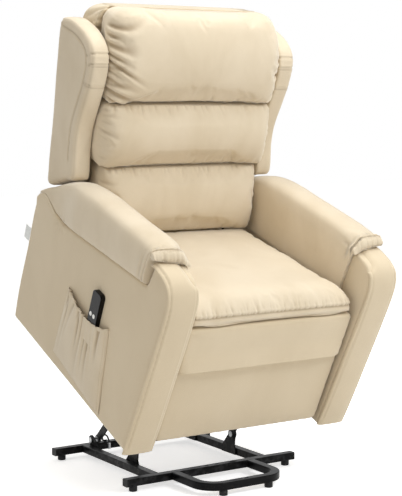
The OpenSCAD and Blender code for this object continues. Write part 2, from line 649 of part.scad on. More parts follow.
// top line of the arm pad and the depth of its underside, at a place u along it
pad_top = [[36, 640], [40, 652], [48, 662], [62, 669], [92, 673], [152, 673], [240, 661], [322, 647],
    [400, 639], [450, 631], [534, 613], [580, 594], [622, 572], [662, 544], [700, 517], [719, 501]];
pad_places = [36, 40, 48, 56, 62, 65, 77, 92, 152, 240, 330, 400, 450, 534, 566, 590, 620, 650, 684, 704, 719];
function pad_under(u) = u < 64 ? 617.6 : u < 76 ? 617.6 - (u - 64) / 12 * 81 : lookup(u, pad_seam) + slide_gap;
module arm_pad(side) {
    raised() skin([for (u = pad_places) let (
        wide = pad_outer_x - pad_inner_x - (pad_overhang - 1) * min(1, max(0, u - 470) / 120),
        under = pad_under(u) + (u < 64 ? slide_gap : 1.2),
        high = lookup(u, pad_top) - under,
        e = min(1, (u - 30) / 32))
        [for (k = [[0.13, 0], [0.03, 0.16], [0, 0.45], [0.015, 0.72], [0.08, 0.9], [0.22, 0.98], [0.5, 1],
                   [0.76, 0.985], [0.9, 0.92], [0.975, 0.76], [1, 0.5], [0.985, 0.2], [0.95, 0.05], [0.89, 0]])
            let (sx = 0.5 + (k[0] - 0.5) * (0.86 + 0.14 * e))
            [side * (pad_inner_x + wide * sx), u, under + high * k[1]]]]);
}
module arm_pad_left() { color(velvet) arm_pad(1); }
module arm_pad_right() { color(velvet) arm_pad(-1); }
module arm_mount_bolts() {
    color(zinc) raised() both_sides() for (p = arm_bolt_at) {
        cross_rod(p, 4, recliner_plate_x - 3, arm_inner_x - slide_gap);
        cross_rod(p, 7, recliner_plate_x - 5.5, recliner_plate_x - 0.2);
        cross_rod(p, 9, recliner_plate_x + recliner_plate_t + 0.2, arm_inner_x - slide_gap);
    }
}
// the side pocket: a sheet sewn to the panel along its front, foot and rear edges
pocket_mouth = smooth([[196, 326], [225, 314], [262, 305], [306, 301], [360, 306], [410, 319], [446, 319]], 2, false);
pocket_full = handset_t + slide_gap;
pocket_x = -(arm_outer_x + slide_gap);
module side_pocket() {
    cols = len(pocket_mouth);
    rows = 8;
    mouth_front = pocket_mouth[0][0];
    mouth_rear = pocket_mouth[cols - 1][0];
    foot_front = [158, 66];
    foot_rear = [462, 92];
    function at(i, j) = let (s = (pocket_mouth[j][0] - mouth_front) / (mouth_rear - mouth_front),
        foot = foot_front + s * (foot_rear - foot_front))
        foot + (pocket_mouth[j] - foot) * i / (rows - 1);
    function bulge(i, j) = let (s = j / (cols - 1), t = i / (rows - 1))
        pocket_full * dome(min(1, s / 0.18), 2) * dome(min(1, (1 - s) / 0.42), 2) * dome(min(1, t / 0.5), 2)
        - 1.6 * pow(max(0, sin(540 * s + 70)), 2) * (1 - t) * (t > 0 ? 1 : 0) * (s > 0 && s < 1 ? 1 : 0);
    back = [for (i = [0 : rows - 1]) [for (j = [0 : cols - 1]) [pocket_x - max(0, bulge(i, j)), at(i, j)[0], at(i, j)[1]]]];
    front = [for (r = back) [for (p = r) p - [cloth_t, 0, 0]]];
    color(velvet_edge) raised() sheet(back, front);
}
tag_w = 30;
tag_len = 44;
module seam_tag() {
    color(white_cloth) raised() translate([-arm_outer_x + 4, (back_edge[2][0] + back_edge[3][0]) / 2 - 0.2, 313])
        cube([1, tag_w, tag_len]);
}

// ---- back ----------------------------------------------------------------------------------
back_plate_x = recliner_plate_x - 6;
back_plate_t = 5;
back_tube = 25;
back_post_x = back_plate_x - back_tube;
wing_half_w = overall_w / 2 - wing_inset;
pillow_half_w = wing_half_w - wing_t - pillow_gap;
hinge_r = 8;
// the plane the pillows lean on, and the outside of the back, at height z
function lean_u(z) = 646 + (z - 428) * 0.16;
function rear_u(z) = 728 + (z - 428) * 0.187;
function lean_pt(z, d = 0) = [lean_u(z) + d, z];
back_lean = atan2(lean_u(1000) - lean_u(345), 1000 - 345);
post_mid = slide_gap + back_tube / 2 / cos(back_lean);
post_foot = lean_pt(345, post_mid);
post_head = lean_pt(1000, post_mid);
frame_levels = [352, 640, 984];
module back_frame() {
    long = norm(post_head - post_foot);
    color(black_steel) raised() difference() {
        union() {
            both_sides() translate([back_post_x, post_foot[0], post_foot[1]]) rotate([-back_lean, 0, 0])
                translate([0, -back_tube / 2, 0]) cube([back_tube, back_tube, long]);
            for (z = frame_levels) translate([-back_post_x - 1, lean_u(z) + post_mid, z]) rotate([-back_lean, 0, 0])
                translate([0, 1 - back_tube / 2, 0]) cube([2 * back_post_x + 2, back_tube - 2, back_tube]);
            both_sides() side_plate(back_plate_x - 1, back_plate_t + 1)
                link_outline(back_pivot, post_foot + [4, 40], 20, 18, 12);
        }
        cross_rod(back_pivot, hinge_r + weld_gap, -recliner_plate_x - 1, recliner_plate_x + 1);
    }
}
module back_hinge_bolts() {
    color(zinc) raised() both_sides() {
        cross_rod(back_pivot, hinge_r, back_plate_x - 2, recliner_plate_x + recliner_plate_t + 1);
        cross_rod(back_pivot, 12, back_plate_x - 6, back_plate_x - 1.2);
        cross_rod(back_pivot, 12, recliner_plate_x + recliner_plate_t + 0.3, recliner_plate_x + recliner_plate_t + 5);
    }
}
// a pillow: side outline from its lower groove up over its front to its upper groove and down
// the plane it leans on; crown swells its front, the groove pinches at its ends, and the upper
// corners are rounded by corner
module pillow(low, high, crest, corner, half_w, crown) {
    span = high - low;
    front = [unit(span)[1] * -1, unit(span)[0]];
    ts = [0, 0.03, 0.1, 0.22, 0.38, 0.55, 0.72, 0.86, 0.95, 1];
    skin([for (s = stations(16)) let (
        full = dome(min(1, (1 - abs(s)) / 0.2), 2.2),
        swell = crown * (0.35 + 0.65 * full),
        x = s * half_w,
        q = corner > 0 ? max(0, abs(x) - half_w + corner) / corner : 0,
        drop = corner * (1 - sqrt(1 - min(1, q * q))),
        head = high[1] - drop)
        concat(
            [for (t = ts) let (h = pow(sin(180 * (0.03 + 0.94 * t)), 0.62),
                 p = low + span * t + front * swell * h + [14 * (1 - full), 0])
                 [x, p[0], p[1] - drop * t * t]],
            [[x, high[0] + 30, head + crest],
             [x, lean_u(high[1]) - 14, head],
             [x, lean_u(head - 8) - slide_gap, head - 8],
             [x, lean_u((high[1] + low[1]) / 2) - slide_gap, (high[1] + low[1]) / 2],
             [x, lean_u(low[1] + 8) - slide_gap, low[1] + 8],
             [x, lean_u(low[1]) - 16, low[1] + 1],
             [x, low[0] + 34, low[1]]])]);
}
groove_seat = [527, 434];
groove_low = [574, 638];
groove_high = [602, 828];
head_top = [658, 1086];
module lumbar_pillow() {
    color(velvet) raised() pillow(groove_seat, groove_low + [0, -2], 0, 0, pad_inner_x - 5, pillow_crown);
}
module middle_pillow() {
    color(velvet) raised() pillow(groove_low + [0, 2], groove_high + [0, -2], 0, 0, pillow_half_w, pillow_crown);
}
module head_pillow() {
    color(velvet) raised() pillow(groove_high + [0, 2], head_top, 15, 78, pillow_half_w, pillow_crown + 12);
}
// upholstered outside of the back, hollow round the frame
cover_foot = 338;
cover_head = 1056;
cover_corner = 52;
module back_cover() {
    room = 2 * post_mid;
    color(velvet) raised() difference() {
        skin([for (s = stations(15)) let (
            z = cover_foot + (cover_head - cover_foot) * (1 + s) / 2,
            q = max(0, z - cover_head + cover_corner) / cover_corner,
            half = z < 560 ? seat_half_w - 2
                 : wing_half_w - wing_t - slide_gap - cover_corner * (1 - sqrt(1 - min(0.98, q * q))),
            t = dome(min(1, (cover_head + 4 - z) / 60), 2) * dome(min(1, (z - cover_foot + 14) / 34), 2),
            f = lean_u(z),
            r = f + (rear_u(z) - f) * (0.45 + 0.55 * t))
            [for (k = [[-1, 0], [-1, 0.75], [-0.985, 0.9], [-0.94, 0.985], [-0.6, 1.06], [0, 1.1], [0.6, 1.06],
                       [0.94, 0.985], [0.985, 0.9], [1, 0.75], [1, 0]])
                [k[0] * half, f + (r - f) * k[1], z]]]);
        // room for the frame, open at the front and below
        translate([-back_plate_x - 8, 0, 0]) rotate([90, 0, 90])
            linear_extrude(2 * (back_plate_x + 8)) polygon([lean_pt(cover_foot - 40, -9), lean_pt(1016, -9),
                lean_pt(1016, room), lean_pt(cover_foot - 40, room)]);
    }
}
// the wings beside the pillows
wing_outline = smooth([[593, 598], [612, 683], [618, 745], [612, 820], [611, 900], [622, 965], [650, 1006],
    [700, 1026], [755, 1030], [812, 1021], [838, 996], [829, 907], [795, 745], [752, 560], [741, 520],
    [716, 516], [668, 548], [630, 575]], 2);
module wing(side) {
    raised() skin([for (k = [[0, 7], [3, 2], [8, 0], [wing_t - 22, 0], [wing_t - 12, 2], [wing_t - 5, 7], [wing_t, 18]])
        [for (p = drawn_in(wing_outline, -k[1])) [side * (wing_half_w - wing_t + k[0]), p[0], p[1]]]]);
}
module wing_left() { color(velvet) wing(1); }
module wing_right() { color(velvet) wing(-1); }

// ---- footrest ------------------------------------------------------------------------------
board_t = 15;
flap_pivot = [-28, seat_front_z - 53.4];
pad_lean = 2.8;
flap_len = 145.6;
foot_start = 149.6;
foot_end = 388.4;
board_half_w = inner_link_x - 4;
foot_half_w = seat_half_w + foot_spread;
knee_pivot = [176, 116];                 // drive link to front link
pad_pivot = [30, 236];                   // front link to footrest
control_end = knee_pivot + control_pivot - drive_pivot;
top_pivot = [162.7, 164.2];              // drive link to top link
pad_top_pivot = top_pivot + pad_pivot - knee_pivot;
foot_link_t = 5;
module on_pads() {
    raised() translate([0, flap_pivot[0], flap_pivot[1]]) rotate([pad_lean, 0, 0]) children();
}
function pad_pt(d, h) = flap_pivot + turned([d, h], pad_lean);
module foot_stud(p, x0, x1) {
    cross_rod(p, pivot_r, x0, x1);
    cross_rod(p, pivot_r + 2.5, x0 - 2, x0 - 0.2);
}
module foot_plate(x, bores) {
    difference() {
        side_plate(x, foot_link_t) children();
        for (b = bores) cross_rod([b[0], b[1]], b[2], x - 1, x + foot_link_t + 1);
    }
}
function bore(p, r) = [p[0], p[1], r];
module drive_links() {
    color(black_steel) raised() {
        both_sides() {
            foot_plate(outer_link_x, [bore(drive_pivot, 12 - 0.1), bore(knee_pivot, pivot_r - 0.1),
                bore(top_pivot, pivot_r - 0.1)])
                link_outline(drive_pivot, knee_pivot, 22, 18, 12);
            foot_stud(knee_pivot, inner_link_x - 0.3, outer_link_x + foot_link_t);
            foot_stud(top_pivot, inner_link_x - 0.3, outer_link_x + foot_link_t);
        }
        cross_tube(drive_pivot, 12, 2, recliner_plate_x + recliner_plate_t);
    }
}
module control_link_rivets() {
    color(zinc) raised() both_sides() {
        cross_rod(control_pivot, pivot_r, outer_link_x - 0.3, recliner_plate_x + recliner_plate_t);
        cross_rod(control_pivot, 9, outer_link_x + foot_link_t + slide_gap, recliner_plate_x - 0.1);
        cross_rod(control_pivot, 9, outer_link_x - 2.3, outer_link_x - slide_gap);
    }
}
module footrest_control_links() {
    color(black_steel) raised() both_sides()
        foot_plate(outer_link_x, [bore(control_pivot, pivot_r + fit), bore(control_end, pivot_r + fit)])
            link_outline(control_pivot, control_end, 18, 11, 11);
}
module footrest_front_links() {
    color(black_steel) raised() both_sides() {
        foot_plate(inner_link_x, [bore(knee_pivot, pivot_r + fit), bore(pad_pivot, pivot_r + fit),
            bore(control_end, pivot_r - 0.1)]) {
            link_outline(knee_pivot, pad_pivot, 18, 12, 11);
            link_outline(knee_pivot, control_end, 18, 12, 11);
        }
        cross_rod(control_end, pivot_r, inner_link_x, outer_link_x + foot_link_t + 0.3);
        cross_rod(control_end, pivot_r + 2.5, outer_link_x + foot_link_t + slide_gap, outer_link_x + foot_link_t + 2);
    }
}
module footrest_top_links() {
    color(black_steel) raised() both_sides()
        foot_plate(inner_link_x, [bore(top_pivot, pivot_r + fit), bore(pad_top_pivot, pivot_r + fit)])
            link_outline(top_pivot, pad_top_pivot, 14, 9, 9);
}
notch_x0 = inner_link_x - 4;
notch_x1 = outer_link_x + foot_link_t + 3;
module footrest_board() {
    color(timber) on_pads() difference() {
        translate([-foot_half_w + 4, pad_t + slide_gap, -foot_end + 3])
            cube([2 * foot_half_w - 8, board_t, foot_end - foot_start - 4]);
        both_sides() {
            translate([notch_x0, pad_t - 1, -foot_start - 86])
                cube([notch_x1 - notch_x0, board_t + 3, 100]);
            for (h = [24, 78]) translate([outer_link_x + 17, pad_t - 1, -foot_start - h]) rotate([-90, 0, 0])
                cylinder(h = board_t + 3, r = 2.5, $fn = 24);
        }
    }
}
module footrest_brackets() {
    d = pad_t + slide_gap + board_t + slide_gap;
    color(black_steel) {
        raised() both_sides() {
            foot_plate(outer_link_x, [bore(pad_pivot, pivot_r - 0.1), bore(pad_top_pivot, pivot_r - 0.1)]) {
                link_outline(pad_pivot, pad_top_pivot, 16, 12, 9);
                polygon([pad_pt(d, -foot_start - 12), pad_pt(d, -foot_start - 100),
                    pad_pivot + [9, -10], pad_top_pivot + [10, 8]]);
            }
            foot_stud(pad_pivot, inner_link_x - 0.3, outer_link_x + foot_link_t);
            foot_stud(pad_top_pivot, inner_link_x - 0.3, outer_link_x + foot_link_t);
        }
        on_pads() both_sides() translate([outer_link_x + 1, d, -foot_start - 100]) cube([24, 3, 88]);
        on_pads() both_sides() for (h = [24, 78])
            translate([outer_link_x + 17, d - 10, -foot_start - h]) rotate([-90, 0, 0])
                cylinder(h = 13, r = 2.4, $fn = 24);
    }
}
// a pad: rolled edges, a full face at depth d0, from h0 down to h1 in the plane of the pads
module flat_pad(h0, h1, d0) {
    half = foot_half_w;
    mid = -(h0 + h1) / 2;
    tall = (h1 - h0) / 2;
    corner = 14;
    on_pads() skin([for (k = [[pad_t, 3], [pad_t - 2, 0.6], [pad_t - 5, 0], [d0 + 7, 0], [d0 + 3.4, 1.8], [d0 + 1.2, 5], [d0, 13]])
        [for (c = [[-1, -1, 180], [1, -1, 270], [1, 1, 0], [-1, 1, 90]]) for (a = [0 : 22.5 : 90])
            [c[0] * (half - corner) + (corner - k[1]) * cos(c[2] + a), k[0],
             mid + c[1] * (tall - corner) + (corner - k[1]) * sin(c[2] + a)]]]);
}
module footrest_pad() { color(velvet) flat_pad(foot_start, foot_end, foot_setback); }
flap_top = 1.7;
module flap_pad() { color(velvet) flat_pad(flap_top, flap_len, 0); }
module flap_board() {
    color(timber) on_pads() translate([-board_half_w, pad_t + slide_gap, -flap_len + 3])
        cube([2 * board_half_w, board_t, flap_len - flap_top - 4]);
}

// ---- drive ---------------------------------------------------------------------------------
lug_half = 17;
lug_t = 5;
// the rod follows the crank pin by a turn and a stroke; its eye is opened to take the rest
rod_turn = swing(rod_pin_at(0) - motor_pivot, rod_pin_at(1) - motor_pivot);
rod_stroke = norm(rod_pin_at(0) - motor_pivot) - norm(rod_pin_at(1) - motor_pivot);
rod_line = unit(rod_pin_at(0) - motor_pivot);
rod_path = [for (i = [0 : 20]) let (t = i / 20)
    turned(rod_pin_at(t) - motor_pivot, -rod_turn * t) + rod_stroke * t * rod_line
    - (rod_pin_at(0) - motor_pivot)];
rod_long = norm(rod_pin - motor_pivot);
// the eye's middle, along the rod's line and square to it
rod_eye = [rod_long, 0] + turned(mid_of(rod_path), -heading(rod_line));
rod_eye_r = pivot_r + reach_of(rod_path, mid_of(rod_path)) + slide_gap;
eye_half = crank_half - crank_t - 1;
gear_len = 48;
tube_r = 17;
rod_r = 9;
tube_end = rod_long - rod_stroke - rod_eye_r - 20;
module on_actuator() {
    raised() translate([0, motor_pivot[0], motor_pivot[1]])
        rotate([heading(rod_line), 0, 0]) children();
}
module along_y(r, y0, y1) {
    translate([0, y0, 0]) rotate([-90, 0, 0]) cylinder(h = y1 - y0, r = r, $fn = round_fn);
}
module actuator_motor() {
    color(black_plastic) on_actuator() {
        cross_rod([0, 0], pivot_r, -lug_half - 1, lug_half + 1);
        cross_rod([0, 0], 12, -eye_half, eye_half);
        translate([-eye_half, 4, -10]) cube([2 * eye_half, 18, 20]);
        translate([0, 20, 0]) rotate([-90, 0, 0]) linear_extrude(gear_len) rounded_box_2d(50, 48, 8);
        // motor can, lying across the chair
        difference() {
            cross_rod([20 + gear_len / 2, -2], 21, 24, 106);
            for (x = [40, 52, 64]) cross_ring([20 + gear_len / 2, -2], x);
        }
    }
}
module cross_ring(p, x) {
    difference() {
        cross_rod(p, 23, x, x + 2.5);
        cross_rod(p, 20, x - 1, x + 4);
    }
}
module actuator_tube() {
    color(black_steel) on_actuator() difference() {
        union() {
            along_y(tube_r, 20 + gear_len, tube_end);
            along_y(tube_r + 3, tube_end - 12, tube_end + 3);
        }
        along_y(rod_r + 3, 20 + gear_len + 4, tube_end - 12);
        along_y(rod_r + fit, tube_end - 14, tube_end + 4);
    }
}
module actuator_rod() {
    color(zinc) on_actuator() difference() {
        union() {
            along_y(rod_r, tube_end - 48, rod_long - rod_eye_r - 2);
            translate([-eye_half, rod_long - rod_eye_r - 14, -rod_r]) cube([2 * eye_half, 14, 2 * rod_r]);
            cross_rod(rod_eye, rod_eye_r + 6, -eye_half, eye_half);
        }
        cross_rod(rod_eye, rod_eye_r, -eye_half - 1, eye_half + 1);
    }
}

// ---- hand control --------------------------------------------------------------------------
handset_u = 248;
handset_z = 252;
handset_x = pocket_x - handset_t;
key_at = [[266, 328], [284, 328]];
key_proud = 1;
key_depth = 5;
module handset_shell() {
    mid = [handset_u + handset_w / 2, handset_z + handset_len / 2];
    color(black_plastic) raised() difference() {
        union() {
            side_plate(handset_x + 1.5, handset_t - 3) translate(mid)
                rounded_box_2d(handset_w, handset_len, 12);
            side_plate(handset_x, handset_t) translate(mid)
                rounded_box_2d(handset_w - 3, handset_len - 3, 10.5);
        }
        for (p = key_at) cross_rod(p, key_r + 0.08, handset_x - 1, handset_x + key_depth + 0.6);
        translate([handset_x + handset_t / 2, mid[0], handset_z - 1]) cylinder(h = 12.3, r = 4.1, $fn = 32);
    }
}
module handset_socket() {
    color(black_steel) raised() translate([handset_x + handset_t / 2, handset_u + handset_w / 2, handset_z - 6])
        difference() {
            union() {
                cylinder(h = 17, r = 4, $fn = 32);
                cylinder(h = 5.9, r = 6, $fn = 32);
            }
            translate([0, 0, -1]) cylinder(h = 12, r = 2.6, $fn = 32);
        }
}
module handset_key(i) {
    color(nylon) raised() cross_rod(key_at[i], key_r, handset_x - key_proud, handset_x + key_depth - key_proud);
}
module handset_key_left() { handset_key(1); }
module handset_key_right() { handset_key(0); }

// ---- lead held on the base -----------------------------------------------------------------
lead_r = 2.6;
lead_x = 17 - rear_link_x;
lead_path = smooth([for (p = [[22, -1, lead_r + 0.2], [9, -2, 4], [1, -11, 17], [0, -27, 28], [0, -43, 27],
    [0, -53, 17], [0, -57, 8]]) [lead_x + p[0], rear_bar_y + p[1], tube_top + p[2]]], 3, false);
module motor_lead() {
    n = len(lead_path);
    color(black_plastic) skin([for (i = [0 : n - 1]) let (
        d = unit(lead_path[min(i + 1, n - 1)] - lead_path[max(i - 1, 0)]),
        a = unit(cross(d, [0.3, 1, 0.2])),
        b = cross(d, a))
        [for (w = [0 : 45 : 315]) lead_path[i] + lead_r * (cos(w) * a + sin(w) * b)]]);
}
module motor_lead_connector() {
    p = lead_path[len(lead_path) - 1];
    color(zinc) translate(p + [0, 0.5, -19]) cylinder(h = 18, r = 4.5, $fn = 32);
}

base_side_rails();
base_rear_bar();
base_front_bar();
base_front_loop();
base_end_caps();
base_feet();
base_link_brackets();
base_pivot_rivets();
motor_lead();
motor_lead_connector();
lift_links_rear();
torque_tube();
torque_crank();
crank_pin();
lift_links_front();
lift_side_plates();
front_link_studs();
torque_tube_bushes();
recliner_side_plates();
front_cross_tube();
rear_motor_tube();
seat_frame();
seat_frame_bolts();
seat_springs();
seat_front_board();
arm_mount_bolts();
arm_panel_left();
arm_panel_right();
arm_post_left();
arm_post_right();
arm_pad_left();
arm_pad_right();
seat_cushion();
side_pocket();
seam_tag();
control_link_rivets();
back_frame();
back_hinge_bolts();
back_cover();
wing_left();
wing_right();
head_pillow();
middle_pillow();
lumbar_pillow();
drive_links();
footrest_control_links();
footrest_front_links();
footrest_top_links();
footrest_board();
footrest_brackets();
footrest_pad();
flap_board();
flap_pad();
actuator_motor();
actuator_tube();
actuator_rod();
handset_shell();
handset_socket();
handset_key_left();
handset_key_right();
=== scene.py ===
# %% [markdown]
# # A lift recliner chair in beige velvet
#
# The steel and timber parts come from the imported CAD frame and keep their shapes. This lesson adds
# what CAD leaves plain: the padded upholstery with its seams and gathers, the loose pocket, and the
# finishes of the metal and plastic. Everything is in metres, with +Z up and the sitter facing -Y.

# %% Load the frame
import math

import bmesh
import bpy
import numpy as np
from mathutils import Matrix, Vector, noise


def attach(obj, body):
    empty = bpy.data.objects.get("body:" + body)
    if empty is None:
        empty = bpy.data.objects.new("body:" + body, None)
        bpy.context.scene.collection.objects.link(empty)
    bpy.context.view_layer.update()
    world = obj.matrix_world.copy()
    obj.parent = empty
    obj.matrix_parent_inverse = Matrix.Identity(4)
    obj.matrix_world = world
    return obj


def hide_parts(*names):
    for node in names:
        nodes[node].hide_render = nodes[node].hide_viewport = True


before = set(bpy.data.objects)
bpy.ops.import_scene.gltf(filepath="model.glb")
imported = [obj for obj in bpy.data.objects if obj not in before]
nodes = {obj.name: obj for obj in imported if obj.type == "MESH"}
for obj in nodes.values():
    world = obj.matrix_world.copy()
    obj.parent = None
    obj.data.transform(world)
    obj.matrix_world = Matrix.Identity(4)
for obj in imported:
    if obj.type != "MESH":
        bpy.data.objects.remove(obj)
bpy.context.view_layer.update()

# %% [markdown]
# ## Two ways of saying where a point is
#
# The chair is drawn as if seated and then tipped forward on its lift base. So a point on the
# upholstery is easiest to give in chair measures: x sideways, u back from the foot of the arm, and z
# up, in millimetres. One matrix product then puts it where the raised chair has it. A whole array of
# points is turned at once with numpy, which is far quicker than a loop over vertices.

# %% Chair measures to the raised chair
TILT = math.radians(23.6)
CORNER = np.array([-212.0, 155.0])  # world y and z of the lower front corner of the arms, mm
CLEAR = 45.0  # height of that corner over the floor when the chair is down, mm


def raised(points):
    """Chair points (x, u, z) in mm to world points in m."""
    p = np.asarray(points, float)
    u, z = p[..., 1], p[..., 2] - CLEAR
    y = CORNER[0] + u * math.cos(TILT) - z * math.sin(TILT)
    up = CORNER[1] + u * math.sin(TILT) + z * math.cos(TILT)
    return np.stack([p[..., 0], y, up], -1) / 1000


def seated(points):
    """World points in m back to chair points in mm."""
    p = np.asarray(points, float) * 1000
    y, up = p[..., 1] - CORNER[0], p[..., 2] - CORNER[1]
    u = y * math.cos(TILT) + up * math.sin(TILT)
    z = -y * math.sin(TILT) + up * math.cos(TILT) + CLEAR
    return np.stack([p[..., 0], u, z], -1)


print("seat front edge, raised:", raised([0, -20, 503]).round(3))

# %% [markdown]
# ## Camera
#
# The camera stands about 4.4 m away and 1.1 m up, before the chair and to the sitter's right, on a
# long lens. A long lens keeps the sides nearly parallel, so that sizes are easy to compare. The
# direction is built from an azimuth and an elevation, and `to_track_quat` turns the camera along it.

# %% Camera
AZIMUTH, ELEVATION, DISTANCE, LENS = -33.39, 5.81, 4.373, 128.54
az, el = math.radians(AZIMUTH), math.radians(ELEVATION)
towards_camera = Vector((math.sin(az) * math.cos(el), -math.cos(az) * math.cos(el), math.sin(el)))
aim = Vector((0.0454, 0.0437, 0.6794))
camera = bpy.data.objects.new("camera", bpy.data.cameras.new("camera"))
camera.data.sensor_width = 36
camera.data.sensor_fit = "HORIZONTAL"
camera.data.lens = LENS
camera.location = aim + towards_camera * DISTANCE
camera.rotation_euler = (-towards_camera).to_track_quat("-Z", "Y").to_euler()
bpy.context.scene.collection.objects.link(camera)
bpy.context.scene.camera = camera
print("camera at", tuple(round(v, 3) for v in camera.location))

# %% [markdown]
# ## Room and light
#
# The chair is shown on a plain white ground. A big flat floor would do, but its far edge would show,
# so the floor is large and the world behind it is white as well. The white is given to the camera,
# glossy and transmission rays only. The light that falls on the cloth stays at a level where a
# colour renders about as it is written: a soft, slightly warm world light, a large and slightly cool
# key lamp from the front right, another from above and a weak fill, so that lit cloth is paler than
# shaded cloth. The floor glows a little for the camera only, so that it reads as white and still
# keeps the chair's soft shadow.

# %% World
scene = bpy.context.scene
scene.view_settings.view_transform = "Standard"
WARM, WORLD_LEVEL = (1.0, 0.965, 0.91, 1), 0.43


def add(tree, kind, settings=None, **inputs):
    """A node with its settings and inputs (i3 is the input of that number), each a value or an output."""
    node = tree.nodes.new(kind)
    for key, value in (settings or {}).items():
        setattr(node, key, value)
    for key, value in inputs.items():
        by_number = key[0] == "i" and key[1:].isdigit()
        socket = node.inputs[int(key[1:]) if by_number else key.replace("_", " ")]
        if isinstance(value, bpy.types.NodeSocket):
            tree.links.new(value, socket)
        else:
            socket.default_value = value
    return node


def math_node(tree, operation, a, b=0.0):
    return add(tree, "ShaderNodeMath", {"operation": operation}, i0=a, i1=b).outputs[0]


def seen_directly(tree):
    """1 for rays that come from the camera or by reflection or transmission, else 0."""
    path = tree.nodes.new("ShaderNodeLightPath")
    straight = math_node(tree, "MAXIMUM", path.outputs["Is Camera Ray"], path.outputs["Is Glossy Ray"])
    return math_node(tree, "MAXIMUM", straight, path.outputs["Is Transmission Ray"])


def background(tree, colour, strength):
    return add(tree, "ShaderNodeBackground", None, Color=colour, Strength=strength).outputs[0]


world = bpy.data.worlds.new("studio")
scene.world = world
world.use_nodes = True
tree = world.node_tree
tree.nodes.clear()
sky = add(tree, "ShaderNodeMixShader", None, i0=seen_directly(tree), i1=background(tree, WARM, WORLD_LEVEL),
          i2=background(tree, (1, 1, 1, 1), 1.0)).outputs[0]
add(tree, "ShaderNodeOutputWorld", None, Surface=sky)
print("world nodes:", [node.name for node in tree.nodes])

# %% Lamps
COOL = (0.97, 0.985, 1.0)


def lamp(name, location, target, size, watts, colour=(1, 1, 1)):
    data = bpy.data.lights.new(name, "AREA")
    data.shape = "RECTANGLE"
    data.size, data.size_y = size
    data.energy = watts
    data.color = colour
    obj = bpy.data.objects.new(name, data)
    obj.location = location
    obj.rotation_euler = (Vector(target) - Vector(location)).to_track_quat("-Z", "Y").to_euler()
    scene.collection.objects.link(obj)


lamp("key", (1.5, -3.0, 3.3), (0, -0.1, 0.8), (1.6, 1.6), 90, COOL)
lamp("fill", (-2.9, -0.9, 2.3), (0, 0, 0.9), (2.0, 2.0), 13)
lamp("top", (0.2, -0.2, 3.4), (0, 0, 0.8), (2.0, 2.0), 58, COOL)

# %% Floor
FLOOR_REACH, FLOOR_GLOW = 12.0, 0.6


def new_material(name):
    """A material with its node tree and its Principled shader."""
    material = bpy.data.materials.new(name)
    material.use_nodes = True
    return material, material.node_tree, material.node_tree.nodes["Principled BSDF"]


floor_mesh = bpy.data.meshes.new("floor")
floor_corners = [(x * FLOOR_REACH, y * FLOOR_REACH, 0) for x, y in ((-1, -1), (1, -1), (1, 1), (-1, 1))]
floor_mesh.from_pydata(floor_corners, [], [(0, 1, 2, 3)])
floor = bpy.data.objects.new("floor", floor_mesh)
floor.location.z = -0.0005
scene.collection.objects.link(floor)
pale, tree, shader = new_material("pale_floor")
shader.inputs["Base Color"].default_value = (0.9, 0.9, 0.9, 1)
shader.inputs["Roughness"].default_value = 0.9
shader.inputs["Emission Color"].default_value = (1, 1, 1, 1)
glow = math_node(tree, "MULTIPLY", seen_directly(tree), FLOOR_GLOW)
tree.links.new(glow, shader.inputs["Emission Strength"])
floor.data.materials.append(pale)
print("floor:", tuple(round(v, 1) for v in floor.dimensions), "m")

# %% [markdown]
# ## Velvet
#
# The cover is a short-pile polyester velvet. Seen close, it has four things: the tiny dots of the
# pile, a soft cross pattern of the backing, patches where the pile has been stroked one way or the
# other, and a bright rim where the pile is seen from its side. The dots, backing and patches are
# made from noise and wave textures in object coordinates, so they need no unwrapping and stay fixed
# to the cloth. They are one node group, so each cover can use it at its own strength. The group also
# paints shade into the colour: cloth that lies deep in a fold is made darker and warmer. The bright rim
# is the sheen of the Principled shader, which belongs to the material.

# %% Helpers for the velvet
def new_group(name, inputs, outputs):
    """A shader node group with float inputs {name: value} or colour inputs, and named outputs."""
    group = bpy.data.node_groups.new(name, "ShaderNodeTree")
    for label, value in inputs.items():
        kind = "NodeSocketColor" if isinstance(value, tuple) else "NodeSocketFloat"
        socket = group.interface.new_socket(label, in_out="INPUT", socket_type=kind)
        socket.default_value = value
    for label, kind in outputs.items():
        group.interface.new_socket(label, in_out="OUTPUT", socket_type=kind)
    return group, group.nodes.new("NodeGroupInput"), group.nodes.new("NodeGroupOutput")


def remap(tree, value, low, high, start=0.0, end=1.0):
    """Turns the run from low to high into one from start to end, and holds it at its ends."""
    return add(tree, "ShaderNodeMapRange", None, Value=value, i1=low, i2=high, i3=start, i4=end).outputs[0]


def speckle(tree, place, scale, detail, roughness=0.5, distortion=0.0):
    return add(tree, "ShaderNodeTexNoise", None, Vector=place, Scale=scale, Detail=detail,
               Roughness=roughness, Distortion=distortion).outputs[0]


def blended(tree, share, first, second, mode="MIX"):
    """The first colour, turned into the second by share."""
    return add(tree, "ShaderNodeMix", {"data_type": "RGBA", "blend_type": mode}, i0=share, i6=first,
               i7=second).outputs[2]


def scaled(tree, colour, by):
    return add(tree, "ShaderNodeVectorMath", {"operation": "SCALE"}, Vector=colour, Scale=by).outputs[0]


print("node helpers:", [helper.__name__ for helper in (remap, speckle, blended, scaled)])

# %% The velvet group
velvet_group, gin, gout = new_group(
    "velvet_pile",
    {"Colour": (0.8, 0.7, 0.55, 1), "Stroked Colour": (0.7, 0.6, 0.45, 1), "Stroke Amount": 0.5,
     "Stroke Size": 7.0, "Pile Size": 1400.0, "Painted Fold Shade": 0.0},
    {"Colour": "NodeSocketColor", "Height": "NodeSocketFloat", "Roughness": "NodeSocketFloat"})
t = velvet_group
place = add(t, "ShaderNodeTexCoord").outputs["Object"]
